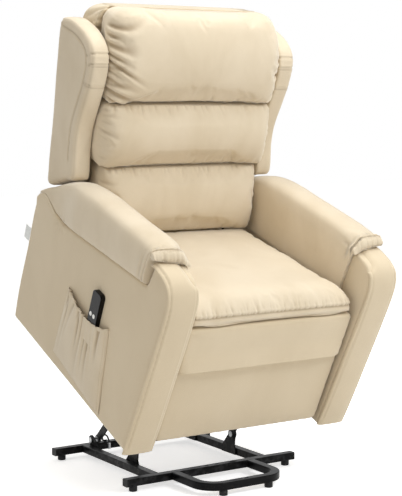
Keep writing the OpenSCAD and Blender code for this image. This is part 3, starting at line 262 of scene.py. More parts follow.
# patches of stroked pile: broad, lengthened downwards, with a softer edge than plain noise
stretch = add(t, "ShaderNodeMapping", None, Vector=place, Scale=(1.0, 1.0, 0.55)).outputs[0]
patches = speckle(t, stretch, gin.outputs["Stroke Size"], 3.0, 0.55, 0.6)
soft = remap(t, patches, 0.34, 0.68)
fine_marks = speckle(t, place, 46.0, 4.0, 0.6)
marks = math_node(t, "ADD", math_node(t, "MULTIPLY", soft, 0.8), math_node(t, "MULTIPLY", fine_marks, 0.3))
amount = math_node(t, "MULTIPLY", marks, gin.outputs["Stroke Amount"])
dots = speckle(t, place, gin.outputs["Pile Size"], 2.0, 0.7)
# the backing shows as faint rows both ways
rows = add(t, "ShaderNodeTexWave", {"wave_type": "BANDS", "bands_direction": "Z"}, Vector=place,
           Scale=210.0, Distortion=1.2, Detail=1.0).outputs[1]
columns = add(t, "ShaderNodeTexWave", {"wave_type": "BANDS", "bands_direction": "X"}, Vector=place,
              Scale=240.0, Distortion=1.2, Detail=1.0).outputs[1]
backing = math_node(t, "MULTIPLY", math_node(t, "ADD", rows, columns), 0.5)
colour = blended(t, amount, gin.outputs["Colour"], gin.outputs["Stroked Colour"])
colour = scaled(t, colour, remap(t, dots, 0.3, 0.7, 0.93, 1.05))
height = math_node(t, "ADD", math_node(t, "MULTIPLY", dots, 0.75), math_node(t, "MULTIPLY", backing, 0.25))
rough = remap(t, marks, 0.0, 1.0, 0.92, 0.78)
# painted shade: cloth deep in a fold is made darker and warmer, as if less light reached it
deep = remap(t, gin.outputs["Painted Fold Shade"], 0.05, 1.0, 0.0, 0.62)
colour = blended(t, deep, colour, (0.42, 0.33, 0.23, 1), "MULTIPLY")
t.links.new(colour, gout.inputs["Colour"])
t.links.new(height, gout.inputs["Height"])
t.links.new(rough, gout.inputs["Roughness"])
print("velvet group sockets:", [i.name for i in velvet_group.interface.items_tree])

# %% Velvet covers
def srgb(r, g, b):
    """A colour given as it looks on a screen, 0 to 255, as the linear values a shader wants."""
    def linear(v):
        v /= 255
        return v / 12.92 if v <= 0.04045 else ((v + 0.055) / 1.055) ** 2.4
    return (linear(r), linear(g), linear(b), 1)


def group_in(material, group, **values):
    node = material.node_tree.nodes.new("ShaderNodeGroup")
    node.node_tree = group
    for key, value in values.items():
        node.inputs[key.replace("_", " ")].default_value = value
    return node


def bumped(tree, height, strength, distance):
    return add(tree, "ShaderNodeBump", None, Strength=strength, Distance=distance, Height=height).outputs[0]


def velvet(name, colour, stroked, amount, stroke_size):
    material, tree, shader = new_material(name)
    pile = group_in(material, velvet_group, Colour=colour, Stroked_Colour=stroked,
                    Stroke_Amount=amount, Stroke_Size=stroke_size)
    # the fold depths drive the painted shade in the folds of the velvet
    folds = add(tree, "ShaderNodeAttribute", {"attribute_name": "crease"}).outputs["Fac"]
    tree.links.new(folds, pile.inputs["Painted Fold Shade"])
    tree.links.new(pile.outputs["Colour"], shader.inputs["Base Color"])
    tree.links.new(pile.outputs["Roughness"], shader.inputs["Roughness"])
    tree.links.new(bumped(tree, pile.outputs["Height"], 0.55, 0.0006), shader.inputs["Normal"])
    shader.inputs["Specular IOR Level"].default_value = 0.12
    shader.inputs["Sheen Weight"].default_value = 0.85
    shader.inputs["Sheen Roughness"].default_value = 0.42
    shader.inputs["Sheen Tint"].default_value = srgb(255, 251, 243)
    return material


def ribbed(name, direction, scale, distortion, dark, light, bump, depth, rough):
    """A material of fine even ribs, for thread and tape."""
    material, tree, shader = new_material(name)
    ribs = add(tree, "ShaderNodeTexWave", {"wave_type": "BANDS", "bands_direction": direction}, Scale=scale,
               Distortion=distortion).outputs[1]
    tree.links.new(blended(tree, ribs, dark, light), shader.inputs["Base Color"])
    tree.links.new(bumped(tree, ribs, bump, depth), shader.inputs["Normal"])
    shader.inputs["Roughness"].default_value = rough
    return material


cover = velvet("beige_velvet", srgb(222, 208, 184), srgb(203, 186, 157), amount=0.6, stroke_size=7.0)
cover_smooth = velvet("beige_velvet_taut", srgb(219, 203, 175), srgb(202, 184, 153), amount=0.45,
                      stroke_size=4.5)
thread = ribbed("beige_thread", "DIAGONAL", scale=900.0, distortion=0.4, dark=srgb(196, 176, 142),
                light=srgb(222, 206, 176), bump=0.5, depth=0.0002, rough=0.6)
print("cloth materials:", [m.name for m in (cover, cover_smooth, thread)])

# %% [markdown]
# ## Skins from rings
#
# Every padded piece starts as a stack of closed rings, like the hoops of a barrel, with quads between
# them. A smooth curve through a few points of the side view gives each ring. Most ends are closed
# with smaller and smaller copies of the last ring, so that they have enough vertices to be rounded,
# pleated and stitched. A plain triangle fan would show as a star under velvet.

# %% Curves and rings
def smooth_curve(points, count, closed=False):
    """An even run of count points along a Catmull-Rom curve through the given points."""
    p = np.asarray(points, float)
    if closed:
        ends = np.vstack([p[-1:], p, p[:2]])
    else:
        ends = np.vstack([2 * p[0] - p[1], p, 2 * p[-1] - p[-2]])
    spans = len(ends) - 3
    t = np.linspace(0, 1, 16, endpoint=False)[:, None]
    run = []
    for i in range(spans):
        a, b, c, d = ends[i:i + 4]
        run.append(0.5 * (2 * b + (c - a) * t + (2 * a - 5 * b + 4 * c - d) * t * t
                          + (3 * b - 3 * c + d - a) * t ** 3))
    run.append(ends[-2:-1])
    run = np.vstack(run)
    along = np.concatenate([[0], np.cumsum(np.linalg.norm(np.diff(run, axis=0), axis=1))])
    where = np.linspace(0, along[-1], count, endpoint=not closed)
    return np.stack([np.interp(where, along, run[:, k]) for k in range(p.shape[1])], 1)


def dome(s, p=2.4):
    """How full a padded form is, from 0 at its edge to 1 in its middle."""
    return np.maximum(0, 1 - (1 - np.clip(s, 0, 1)) ** p) ** (1 / p)


def stations(n):
    """n places from -1 to 1, closer together at the ends."""
    return np.sin(np.linspace(-math.pi / 2, math.pi / 2, n))


def drawn_in(points, d):
    """A closed outline moved in by d, square to its own edges."""
    p = np.asarray(points, float)
    along = np.roll(p, -1, 0) - np.roll(p, 1, 0)
    along /= np.linalg.norm(along, axis=1)[:, None]
    area = np.sum(p[:, 0] * np.roll(p[:, 1], -1) - np.roll(p[:, 0], -1) * p[:, 1])
    return p + math.copysign(d, area) * np.stack([-along[:, 1], along[:, 0]], 1)
# the pocket's fold depths also drive the painted shade in the cloth's colour


print("a curve of 5 points:", smooth_curve([[0, 0], [10, 5], [20, 0]], 5).round(1).tolist())

# %% Meshes from rings
def at_x(x, line):
    """A line (u, z) laid at one x, as chair points."""
    return np.column_stack([np.full(len(line), float(x)), line])


def make_mesh(name, points, faces, material):
    """An object from world points, with its normals outward and smooth shading."""
    mesh = bpy.data.meshes.new(name)
    mesh.from_pydata([tuple(p) for p in points], [], faces)
    bm = bmesh.new()
    bm.from_mesh(mesh)
    bmesh.ops.remove_doubles(bm, verts=bm.verts, dist=1e-6)
    bmesh.ops.recalc_face_normals(bm, faces=bm.faces)
    bm.to_mesh(mesh)
    bm.free()
    mesh.polygons.foreach_set("use_smooth", [True] * len(mesh.polygons))
    mesh.materials.append(material)
    obj = bpy.data.objects.new(name, mesh)
    scene.collection.objects.link(obj)
    return obj


def skin(name, rings, material, caps=6):
    """A closed skin over rings (m, n, 3) in chair mm; its ends are closed by shrinking copies."""
    rings = [np.asarray(r, float) for r in rings]
    mid_a, mid_b = rings[0].mean(0), rings[-1].mean(0)
    shrink = [1 - (k / caps) for k in range(1, caps)]
    rings = [mid_a + (rings[0] - mid_a) * s for s in reversed(shrink)] + rings \
        + [mid_b + (rings[-1] - mid_b) * s for s in shrink]
    n = len(rings[0])
    points = np.vstack(rings + [mid_a[None], mid_b[None]])
    faces = []
    for i in range(len(rings) - 1):
        for j in range(n):
            k = (j + 1) % n
            faces.append((i * n + j, i * n + k, (i + 1) * n + k, (i + 1) * n + j))
    last = (len(rings) - 1) * n
    for j in range(n):
        k = (j + 1) % n
        faces.append((len(rings) * n, k, j))
        faces.append((len(rings) * n + 1, last + j, last + k))
    return make_mesh(name, raised(points), faces, material)


print("a line laid at x = 5:", at_x(5, [[0, 0], [1, 2]]).tolist())

# %% Reading and moving vertices
def world_places(mesh):
    """Places of a mesh's vertices in world m."""
    co = np.empty(len(mesh.vertices) * 3)
    mesh.vertices.foreach_get("co", co)
    return co.reshape(-1, 3)


def vertices(obj):
    """Places of the vertices in chair mm, and their normals."""
    co = world_places(obj.data)
    normals = np.empty(len(co) * 3)
    obj.data.vertex_normals.foreach_get("vector", normals)
    here = seated(co)
    return here, seated(co + normals.reshape(-1, 3) * 0.001) - here


def set_vertices(obj, chair_points):
    obj.data.vertices.foreach_set("co", raised(chair_points).astype(np.float32).ravel())
    obj.data.update()


def note_creases(mesh, depth):
    """Keeps how deep each vertex lies in a fold, from 0 to 1, for the painted shade in the cloth's colour."""
    noted = mesh.attributes.get("crease") or mesh.attributes.new("crease", "FLOAT", "POINT")
    before = np.zeros(len(mesh.vertices))
    noted.data.foreach_get("value", before)
    noted.data.foreach_set("value", np.clip(before + np.maximum(0, -depth - 0.3) / 3.6, 0, 1))


def press(obj, depth_at):
    """Moves each vertex along its normal in mm; depth_at(points, normals) gives folds and broad swells."""
    points, normals = vertices(obj)
    folds, broad = depth_at(points, normals)
    set_vertices(obj, points + normals * (folds + broad)[:, None])
    note_creases(obj.data, folds)


def to_line(points, line):
    """Distance of 2-D points from a polyline, and how far along it each one's foot lies."""
    line = np.asarray(line, float)
    best = np.full(len(points), 1e9)
    along = np.zeros(len(points))
    start = 0.0
    for a, b in zip(line[:-1], line[1:]):
        d = b - a
        length = np.linalg.norm(d)
        t = np.clip(((points - a) @ d) / length ** 2, 0, 1)
        gap = np.linalg.norm(points - a - t[:, None] * d, axis=1)
        closer = gap < best
        best[closer] = gap[closer]
        along[closer] = start + t[closer] * length
        start += length
    return best, along


print("gap and run to a line:", to_line(np.array([[3.0, 4.0]]), [[0, 0], [10, 0]]))

# %% [markdown]
# ## Gathers and seams
#
# A gather is cloth that was longer than the edge it is sewn to. The spare length stands up in small
# folds that are deepest at the seam and die out after a few centimetres. Here each fold is one
# narrow valley with its own place, lean, reach and depth, drawn from a seeded random generator, so
# that every run gives the same folds and no two of them are alike. A seam is a narrow valley along a
# line, with the cloth swelling a little on both sides of it.

# %% Gathers and seams
def gathers(s, d, start, end, count, depth, reach, width, seed, lean=0.25):
    """Depth in mm of folds along s, at distance d from the seam that they start from."""
    rng = np.random.default_rng(seed)
    places = start + (end - start) * (np.arange(count) + rng.uniform(0.1, 0.9, count)) / count
    out = np.zeros(len(s))
    near = np.abs(d) < reach * 3.2
    for place in places:
        deep = depth * rng.uniform(0.35, 1.0)
        far = reach * rng.uniform(0.4, 1.25)
        wide = width * rng.uniform(0.7, 1.4)
        slant = lean * rng.uniform(-1, 1)
        x = (s[near] - place - slant * d[near]) / (wide * (1 + 0.6 * np.abs(d[near]) / far))
        fade = np.exp(-(d[near] / far) ** 2)
        out[near] += fade * deep * (-np.exp(-x * x) + 0.45 * np.exp(-((np.abs(x) - 1.7) / 0.8) ** 2))
    return out


def seam_valley(distance, depth, width):
    swell = 0.35 * depth * np.exp(-((distance - 2.4 * width) / (1.3 * width)) ** 2)
    return swell - depth * np.exp(-(distance / width) ** 2)


def soft_folds(points, size, depth, seed, squash=(1, 1, 1)):
    """Broad uneven swells, as wadding gives under cloth."""
    out = np.empty(len(points))
    shift = Vector((seed * 3.1, seed * 1.7, seed * 2.3))
    for i, p in enumerate(points):
        out[i] = noise.noise(Vector((p[0] * squash[0], p[1] * squash[1], p[2] * squash[2])) / size + shift)
    return out * depth


print("a fold at its seam, mm:", gathers(np.array([0.0, 5.0]), np.zeros(2), 0, 10,
                                         count=1, depth=4, reach=30, width=3, seed=1).round(2))

# %% [markdown]
# ## Filling the cushions
#
# Loose cushions are blown up with Blender's cloth: the start shape is copied with even quads by a
# voxel remesh, light pressure pushes the cloth out from inside for twenty frames, and gravity is off
# because the fill holds the shape. The cloth bulges most where it is free and least near its edges,
# which a plain scale can't do. A cap keeps any point from moving too far into its neighbours. The
# result is applied, so no simulation is left on the piece.

# %% Blow up a cushion
VOXEL, PRESSURE, FRAMES = 0.006, 4.0, 20


def evaluated(obj):
    """The object's mesh with its modifiers applied, as a new mesh."""
    graph = bpy.context.evaluated_depsgraph_get()
    return bpy.data.meshes.new_from_object(obj.evaluated_get(graph))


def swap_mesh(obj, mesh, material):
    old = obj.data
    obj.modifiers.clear()
    obj.data = mesh
    bpy.data.meshes.remove(old)
    mesh.name = obj.name
    mesh.materials.clear()
    mesh.materials.append(material)
    mesh.polygons.foreach_set("use_smooth", [True] * len(mesh.polygons))


def even_quads(obj, voxel, material):
    remesh = obj.modifiers.new("even", "REMESH")
    remesh.mode = "VOXEL"
    remesh.voxel_size = voxel
    swap_mesh(obj, evaluated(obj), material)


def blow_up(obj, material, cap):
    """Swells a piece by cloth pressure, each vertex by cap metres at most."""
    even_quads(obj, VOXEL, material)
    start = world_places(obj.data)
    cloth = obj.modifiers.new("fill", "CLOTH")
    cloth.settings.quality = 5
    cloth.settings.mass = 0.3
    cloth.settings.tension_stiffness = 15
    cloth.settings.compression_stiffness = 15
    cloth.settings.bending_stiffness = 0.5
    cloth.settings.use_pressure = True
    cloth.settings.uniform_pressure_force = PRESSURE
    cloth.settings.effector_weights.gravity = 0
    cloth.point_cache.frame_start = 1
    cloth.point_cache.frame_end = FRAMES
    for frame_number in range(1, FRAMES + 1):
        scene.frame_set(frame_number)
    mesh = evaluated(obj)
    move = world_places(mesh) - start
    far = np.linalg.norm(move, axis=1)
    move *= np.minimum(1, cap / np.maximum(far, 1e-9))[:, None]
    mesh.vertices.foreach_set("co", (start + move).astype(np.float32).ravel())
    swap_mesh(obj, mesh, material)
    scene.frame_set(1)
    print(obj.name, "swelled by up to", round(float(np.minimum(far, cap).max()) * 1000, 1), "mm")


def refine(obj, material):
    """Smooths the mesh and splits each face in four."""
    sub = obj.modifiers.new("fine", "SUBSURF")
    sub.levels = sub.render_levels = 1
    swap_mesh(obj, evaluated(obj), material)


print("cloth runs for", FRAMES, "frames, over quads of", VOXEL * 1000, "mm")

# %% [markdown]
# ## Seat cushion
#
# The seat is one thick pad of foam under a wadded cover. Its top is crowned, its front rolls down to
# a gathered seam, and under the seam a narrow band hangs to the flap. Its side view is swept across
# the chair as rings, then blown up as cloth, and the seam and its pleats are pressed in after that,
# because a remesh would wipe them out. The underside and the rear keep to the frame, so the swelling
# fades out there.

# %% Seat cushion: shape
SEAT_FRONT, SEAT_REAR, SEAT_HALF = 503.0, 428.0, 277.0
SEAT_SEAM = 473.0
BAND_SEAMS = {"upper": 467.0, "lower": 453.0}


def deck_z(u):
    return 385 - (u - 40) * math.tan(math.radians(7))


def seat_outline(crown):
    f, r, c = SEAT_FRONT, SEAT_REAR, crown
    lie = 5.1
    return [(-31, f - 52), (15, f - 52), (48, deck_z(48) + lie), (210, deck_z(210) + lie),
            (385, deck_z(385) + lie), (533, deck_z(533) + lie), (566, 345), (572, r - 50), (560, r - 16),
            (527, r - 2 + c * 0.1), (440, r + 16 + c * 0.8), (338, r + 31 + c), (240, f - 29 + c),
            (176, f - 20 + c), (110, f - 9 + c * 0.8), (54, f - 1 + c * 0.6), (12, f - 2 + c * 0.4),
            (-14, f - 9 + c * 0.2), (-27, f - 19), (-31, f - 28), (-33, f - 36), (-35, f - 44)]


rings = []
for s in stations(44):
    full = float(dome((1 - abs(s)) / 0.16, 2))
    outline = smooth_curve(seat_outline(6 * (1 - s * s)), 130, closed=True)
    outline = np.clip(outline, [-35, 300], [572, 600])
    drop = np.where(outline[:, 1] > deck_z(outline[:, 0]) + 40, 9 * (1 - full), 0)
    u = outline[:, 0] * (1 - 0.012 * (1 - full)) + 3 * (1 - full)
    rings.append(at_x(s * (SEAT_HALF - 4), np.column_stack([u, outline[:, 1] - drop])))
seat_cushion = skin("seat_cushion_cover", rings, cover)
print("seat before filling:", len(seat_cushion.data.vertices), "vertices")

# %% Seat cushion: filling
def between(value, low, high):
    """0 below low, 1 above high and a smooth rise between."""
    t = np.clip((value - low) / (high - low), 0, 1)
    return t * t * (3 - 2 * t)


def hold(points, start_points, free):
    """Points pulled back to where they started wherever free is 0."""
    return start_points + (points - start_points) * free[:, None]


def filled(obj, material, free_at, cap):
    """Blows a piece up, but only where free_at says so, and refines its mesh."""
    even_quads(obj, VOXEL, material)
    before, _ = vertices(obj)
    blow_up(obj, material, cap)
    after, _ = vertices(obj)
    if len(after) == len(before):
        set_vertices(obj, hold(after, before, free_at(before)))
    refine(obj, material)


def seat_free(p):
    above = between(p[:, 2] - deck_z(p[:, 1]), 25, 70)
    return above * (1 - between(p[:, 1], 470, 540)) * between(p[:, 2], 452, 475)


filled(seat_cushion, cover, seat_free, cap=0.011)
print("seat filled:", len(seat_cushion.data.vertices), "vertices")

# %% Seat cushion: seam, pleats and swells
def seat_detail(p, n):
    x, u, z = p.T
    forward = between(-n[:, 1], 0.15, 0.6)
    up = between(n[:, 2], 0.1, 0.6)
    above_seam = z - SEAT_SEAM
    front = forward + up * (1 - between(u, 10, 90))
    front = np.clip(front, 0, 1)
    out = seam_valley(np.abs(above_seam), depth=4.0, width=3.2) * forward
    for level in BAND_SEAMS.values():
        out += seam_valley(np.abs(z - level), depth=1.3, width=2.2) * forward
    path = above_seam + np.maximum(0, u + 18) * 0.9
    front *= z > SEAT_SEAM + 1
    out += gathers(x, np.maximum(path, 0), -270, 270,
                   count=54, depth=3.2, reach=44, width=3.0, seed=11, lean=0.1) * front
    top = up * (1 - between(u, 480, 540)) * between(SEAT_HALF - np.abs(x), 2, 40)
    broad = gathers(x, np.maximum(path, 0), -250, 250,
                    count=7, depth=1.6, reach=120, width=12, seed=13, lean=0.5) * front
    broad += soft_folds(p, 150, 4.0, 3, (1, 0.8, 1)) * top
    return out, broad


def upholstered(obj, body, node):
    """Hands a padded piece over, with the body it rides on and the CAD piece it stands for."""
    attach(obj, body)
    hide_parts(node)
    print(obj.name, len(obj.data.vertices), "vertices")


press(seat_cushion, seat_detail)
p, _ = vertices(seat_cushion)
p[:, 0] = np.clip(p[:, 0], -278.6, 278.6)
p[:, 2] = np.where(p[:, 1] < 25, np.maximum(p[:, 2], 449.9), p[:, 2])
set_vertices(seat_cushion, p)
upholstered(seat_cushion, "chassis", "seat_cushion")

# %% [markdown]
# ## Back cushions
#
# Three cushions lie one over the other on the back: a tall head cushion, a middle one and a lumbar
# one between the arms. Each is a bag of fibre with crowned front and pinched edges. Where two meet,
# the cloth is stitched down to the back, so both sides of the crease are gathered. The head cushion
# is filled hardest. Its cloth is pulled round a big corner at each side, which throws long
# folds in from the corner and from the side.

# %% Back cushions: shape
REAR_CORNER = 48.0


def lean_u(z):
    """The plane that the back cushions lie on."""
    return 646 + (z - 428) * 0.16


def pillow_rings(low, high, crest, corner, half, crown):
    """Level sections of a cushion; its top rises by crest, and its upper corners are rounded by corner."""
    low, high = np.array(low, float), np.array(high, float)
    span = high - low
    along = span / np.linalg.norm(span)
    out = np.array([-along[1], along[0]])
    t = np.concatenate([[0, 0.015], np.linspace(0.04, 0.96, 34), [0.985, 1]])
    rings = []
    for s in stations(56):
        full = float(dome((1 - abs(s)) / 0.2, 2.2))
        swell = crown * (0.35 + 0.65 * full)
        h = np.sin(math.pi * (0.03 + 0.94 * t) ** 0.86) ** 0.66
        front = low + span * t[:, None] + out * (swell * h)[:, None]
        front[:, 0] += 14 * (1 - full)
        q = max(0, abs(s * half) - half + corner) / corner if corner else 0
        drop = corner * (1 - math.sqrt(max(0, 1 - q * q)))
        q = max(0, abs(s * half) - half + REAR_CORNER) / REAR_CORNER if corner else 0
        rear = high[1] - REAR_CORNER * (1 - math.sqrt(max(0, 1 - min(0.97, q * q))))
        front[:, 1] -= drop * t * t
        back = smooth_curve([(high[0] + 30, high[1] - 0.75 * drop + crest), (lean_u(high[1]) - 14, rear),
                             (lean_u(rear - 8) - 1, rear - 8),
                             (lean_u((high[1] + low[1]) / 2) - 1, (high[1] + low[1]) / 2),
                             (lean_u(low[1] + 8) - 1, low[1] + 8), (lean_u(low[1]) - 16, low[1] + 1),
                             (low[0] + 34, low[1])], 30)
        rings.append(at_x(s * half, np.vstack([front, back])))
    return rings


def pillow_free(low, high):
    def free(p):
        off_back = lean_u(p[:, 2]) - p[:, 1]
        off_foot, off_top = between(p[:, 2] - low, 0, 84), between(p[:, 2] - high, -84, 0)
        return between(off_back, 14, 64) * off_foot * (1 - 0.9 * off_top)
    return free


print("a cushion's sections:", len(pillow_rings((0, 0), (10, 100), 0, 0, 50, 20)))

# %% Back cushions: filling
# foot and top as (u, z), rise of the top, rounding of its corners, half width and crown
PILLOWS = {
    "lumbar": ((527, 434), (574, 636), 0, 0, 271, 38),
    "middle": ((574, 640), (602, 826), 0, 0, 291, 39),
    "head": ((602, 830), (658, 1085), 13, 76, 292, 46),
}
pillows = {}
for name, (low, high, crest, corner, half, crown) in PILLOWS.items():
    pillow = skin(name + "_cushion_cover", pillow_rings(low, high, crest, corner, half, crown), cover)
    filled(pillow, cover, pillow_free(low[1], high[1]), cap=0.009)
    pillows[name] = pillow
print("pillows:", {name: len(pillow.data.vertices) for name, pillow in pillows.items()})

# %% Back cushions: creases and folds
def pillow_detail(low, high, half, seed, deep, upper):
    def detail(p, n):
        x, _, z = p.T
        front = between(-n[:, 1], -0.1, 0.4)
        right, left = front * (x < 0), front * (x > 0)
        out = gathers(x, z - low, -half, half,
                      count=24, depth=deep * 0.6, reach=24, width=4.6, seed=seed, lean=0.4) * front
        out += gathers(x, high - z, -half, half,
                       count=26, depth=deep * upper, reach=18, width=4.2, seed=seed + 1, lean=0.4) * front
        out += gathers(x, z - low, 20, half,
                       count=8, depth=deep, reach=34, width=5, seed=seed + 2, lean=0.6) * front
        edge = half - np.abs(x)
        out += gathers(z, edge, low, high,
                       count=9, depth=deep, reach=34, width=5.5, seed=seed + 3, lean=0.5) * right
        out += gathers(z, edge, low, high,
                       count=11, depth=deep * 0.8, reach=26, width=5.0, seed=seed + 4, lean=0.4) * left
        inside = between(edge, 0, 60) * front
        broad = soft_folds(p, 150, 3.6, seed) * inside + soft_folds(p, 60, 0.5, seed + 1) * inside
        return out, broad
    return detail


for seed, (name, (low, high, crest, corner, half, crown)) in enumerate(PILLOWS.items()):
    upper = 0.12 if name == "head" else 0.8
    press(pillows[name], pillow_detail(low[1], high[1], half, 20 + 10 * seed, 2.5, upper))
print("creased:", list(pillows))

# %% Long folds of the head cushion
def head_folds(p, n):
    """Long folds of the head cushion, in from both of its sides."""
    x, _, z = p.T
    front = between(-n[:, 1], -0.2, 0.4)
    out = np.zeros(len(p))
    top = between(n[:, 2], 0.2, 0.7)
    for side, count, deep, seed, reach, wide in ((-1, 10, 6.2, 75, 66, 5.6), (1, 14, 3.2, 76, 26, 4.6)):
        edge = 296 - side * x
        # the folds spread from the wing's upper end: upwards above it and downwards below it
        from_fold = z - 0.42 * np.tanh((z - 1005) / 45) * np.minimum(edge, 110)
        out += gathers(from_fold, edge, 846, 1066,
                       count=count, depth=deep, reach=reach, width=wide, seed=seed, lean=0.12) \
            * np.maximum(front, 0.5 * top)
    return out, np.zeros(len(p))


press(pillows["head"], head_folds)
print("head cushion folded:", len(pillows["head"].data.vertices), "vertices")

# %% Hand over the back cushions
LIMITS = {"lumbar": (277.5, 432, 637.6), "middle": (297.6, 638.4, 827.6), "head": (297.6, 828.4, 1200)}
for name, (wide, low, high) in LIMITS.items():
    pillow = pillows[name]
    p, _ = vertices(pillow)
    p[:, 0] = np.clip(p[:, 0], -wide, wide)
    p[:, 2] = np.clip(p[:, 2], low, high)
    p[:, 1] = np.minimum(p[:, 1], lean_u(p[:, 2]) - 0.4)
    set_vertices(pillow, p)
    upholstered(pillow, "back", name + "_pillow")

# %% [markdown]
# ## Upholstered plates: the sides of the arms and the wings
#
# The arm sides and the wings are boards and foam with cloth pulled over them. Their edges roll over
# and their faces swell a little in the middle. Each is drawn as its side view: rings step round the
# rolled edge, and one many-sided face closes each side. A voxel remesh then lays even quads over the
# whole piece, so that no crease follows the old edges, and the face is lifted by its distance from
# the outline.

# %% A padded plate
def flat_ended(name, rings, material):
    """A skin over rings whose two ends are closed by one flat face each."""
    n = len(rings[0])
    faces = [(i * n + j, i * n + (j + 1) % n, (i + 1) * n + (j + 1) % n, (i + 1) * n + j)
             for i in range(len(rings) - 1) for j in range(n)]
    last = (len(rings) - 1) * n
    faces += [tuple(range(n))[::-1], tuple(range(last, last + n))]
    return make_mesh(name, raised(np.vstack(rings)), faces, material)


def relaxed(obj, material, times):
    """Evens out small steps in a mesh."""
    smooth = obj.modifiers.new("relax", "SMOOTH")
    smooth.factor, smooth.iterations = 0.5, times
    swap_mesh(obj, evaluated(obj), material)


def padded_plate(name, outline, steps, side, lift, rim, material, voxel=0.005):
    """outline (u, z); steps of (x, drawn in by) outwards; the outer face rises by lift over rim mm."""
    outline = np.asarray(outline, float)
    rings = [at_x(x * side, drawn_in(outline, d)) for x, d in steps]
    plate = flat_ended(name, rings, material)
    even_quads(plate, voxel, material)
    relaxed(plate, material, 5)
    closed = np.vstack([outline, outline[:1]])

    def swell(p, n):
        edge, _ = to_line(p[:, 1:], closed)
        return np.zeros(len(p)), lift * dome(edge / rim, 2.0) * between(n[:, 0] * side, 0.2, 0.7)
    press(plate, swell)
    return plate


def rolled(x0, x1, inner, outer, middle=6):
    """Steps round the edge of a plate, with a small roll at its inner face and a bigger one outside."""
    small, big = np.linspace(0, math.pi / 2, 5), np.linspace(0, math.pi / 2, 7)
    steps = [(x0 + inner * (1 - math.cos(a)), inner * (1 - math.sin(a))) for a in small]
    steps += [(x, 0) for x in np.linspace(x0 + inner, x1 - outer, middle + 2)[1:-1]]
    steps += [(x1 - outer + outer * math.sin(a), outer * (1 - math.cos(a))) for a in big]
    return steps


print("steps round a small edge:", np.round(rolled(0, 8, 2, 3, 1), 1).tolist())

# %% Outlines of the arm
ARM_IN, ARM_OUT = 292.0, 383.0
POST_EDGE = [(-4, 45), (-14, 150), (-24, 272), (-36, 400), (-44, 500), (-43, 545), (-32, 576), (-8, 597),
             (34, 606), (62, 608)]
PAD_SEAM = [(76, 536), (93, 534), (330, 501), (566, 467), (608, 474), (650, 492), (684, 503), (720, 489)]
BACK_EDGE = [(735, 470), (742, 430), (743, 379), (741, 311), (743, 251), (746, 140), (741, 45)]
post_line = smooth_curve(POST_EDGE, 90)
seam_line = np.vstack([smooth_curve(PAD_SEAM[:4], 60), smooth_curve(PAD_SEAM[4:], 20)])
panel_outline = np.vstack([post_line, seam_line, smooth_curve(BACK_EDGE, 60),
                           np.column_stack([np.linspace(735, 2, 60), np.full(60, 45.0)])])


def arm_sided(side):
    return "left" if side > 0 else "right"


print("arm outline:", len(panel_outline), "points for", arm_sided(1), "and", arm_sided(-1))

# %% Arm sides
PUCKER = (572, 464)


def puckered(u, z, deep, middle_z):
    """A small star of folds where the side and the pad are pulled together near the back."""
    fan = np.arctan2(z - PUCKER[1], u - PUCKER[0])
    away = np.hypot(u - PUCKER[0], z - middle_z)
    return deep * np.cos(fan * 9 + 1) * np.exp(-((away - 16) / 13) ** 2)


def panel_detail(side):
    def detail(p, n):
        _, u, z = p.T
        outer = between(n[:, 0] * side, 0.3, 0.8)
        from_seam, on_seam = to_line(p[:, 1:], PAD_SEAM)
        out = gathers(on_seam, from_seam, 0, 480,
                      count=9, depth=0.5, reach=26, width=8, seed=31 + side, lean=0.4)
        out += puckered(u, z, 1.3, 460)
        broad = soft_folds(p, 260, 2.2, 7 + side, (1, 1, 0.6)) + soft_folds(p, 90, 0.35, 9 + side)
        return out * outer, broad * outer
    return detail


for side in (1, -1):
    edge_roll = rolled(ARM_IN, ARM_OUT - 3, inner=3, outer=7)
    panel = padded_plate(f"arm_side_{arm_sided(side)}", panel_outline, edge_roll, side, lift=3.4, rim=150,
                         material=cover_smooth)
    press(panel, panel_detail(side))
    p, _ = vertices(panel)
    p[:, 2] = np.maximum(p[:, 2], 45)
    # behind the pucker the side and the pad run into each other without a groove
    edge, _ = to_line(p[:, 1:], PAD_SEAM[3:])
    flush = between(p[:, 1], 586, 620) * (1 - between(edge, 20, 60)) * between(p[:, 0] * side, 366, 370)
    p[:, 0] += side * np.maximum(0, 384 - p[:, 0] * side) * flush
    set_vertices(panel, p)
    upholstered(panel, "chassis", f"arm_panel_{arm_sided(side)}")

# %% [markdown]
# ## Front bands of the arms
#
# A padded band runs down the front of each arm in a long S, from under the arm pad to the foot. It is
# swept along the arm's front edge. Its section is flat in the middle and rounds off to a seam at each
# side. At the top the band arches over, and it is lower on the side towards the seat.

# %% Front bands
POST_SECTION = smooth_curve([(2, 0.4), (-0.2, 4), (1.5, 9), (9, 13.2), (26, 15.4), (49, 16), (72, 15.4),
                             (88, 13.2), (96, 9), (98.4, 4), (95, 0.4)], 52)
band_line = smooth_curve(POST_EDGE, 170)
band_dir = np.gradient(band_line, axis=0)
band_dir /= np.linalg.norm(band_dir, axis=1)[:, None]
band_out = np.stack([-band_dir[:, 1], band_dir[:, 0]], 1)


def band_detail(side):
    def detail(p, n):
        across = p[:, 0] * side - ARM_IN
        _, along = to_line(p[:, 1:], POST_EDGE)
        front = between(-n[:, 1], -0.3, 0.3) + between(n[:, 2], 0.2, 0.6)
        out = seam_valley(np.abs(across - 89), depth=1.5, width=2.4) * between(along, 8, 30)
        out += seam_valley(np.abs(across - 9), depth=1.2, width=2.4) * between(along, 8, 30)
        out += gathers(along, np.abs(across - 89), 30, 600,
                       count=34, depth=0.5, reach=9, width=4.5, seed=41 + side, lean=0.2)
        inside = between(across, 8, 30) * between(98 - across, 8, 30)
        broad = soft_folds(p, 120, 1.5, 4 + side, (1, 1, 0.8)) * inside
        return out * np.minimum(1, front), broad * np.minimum(1, front)
    return detail


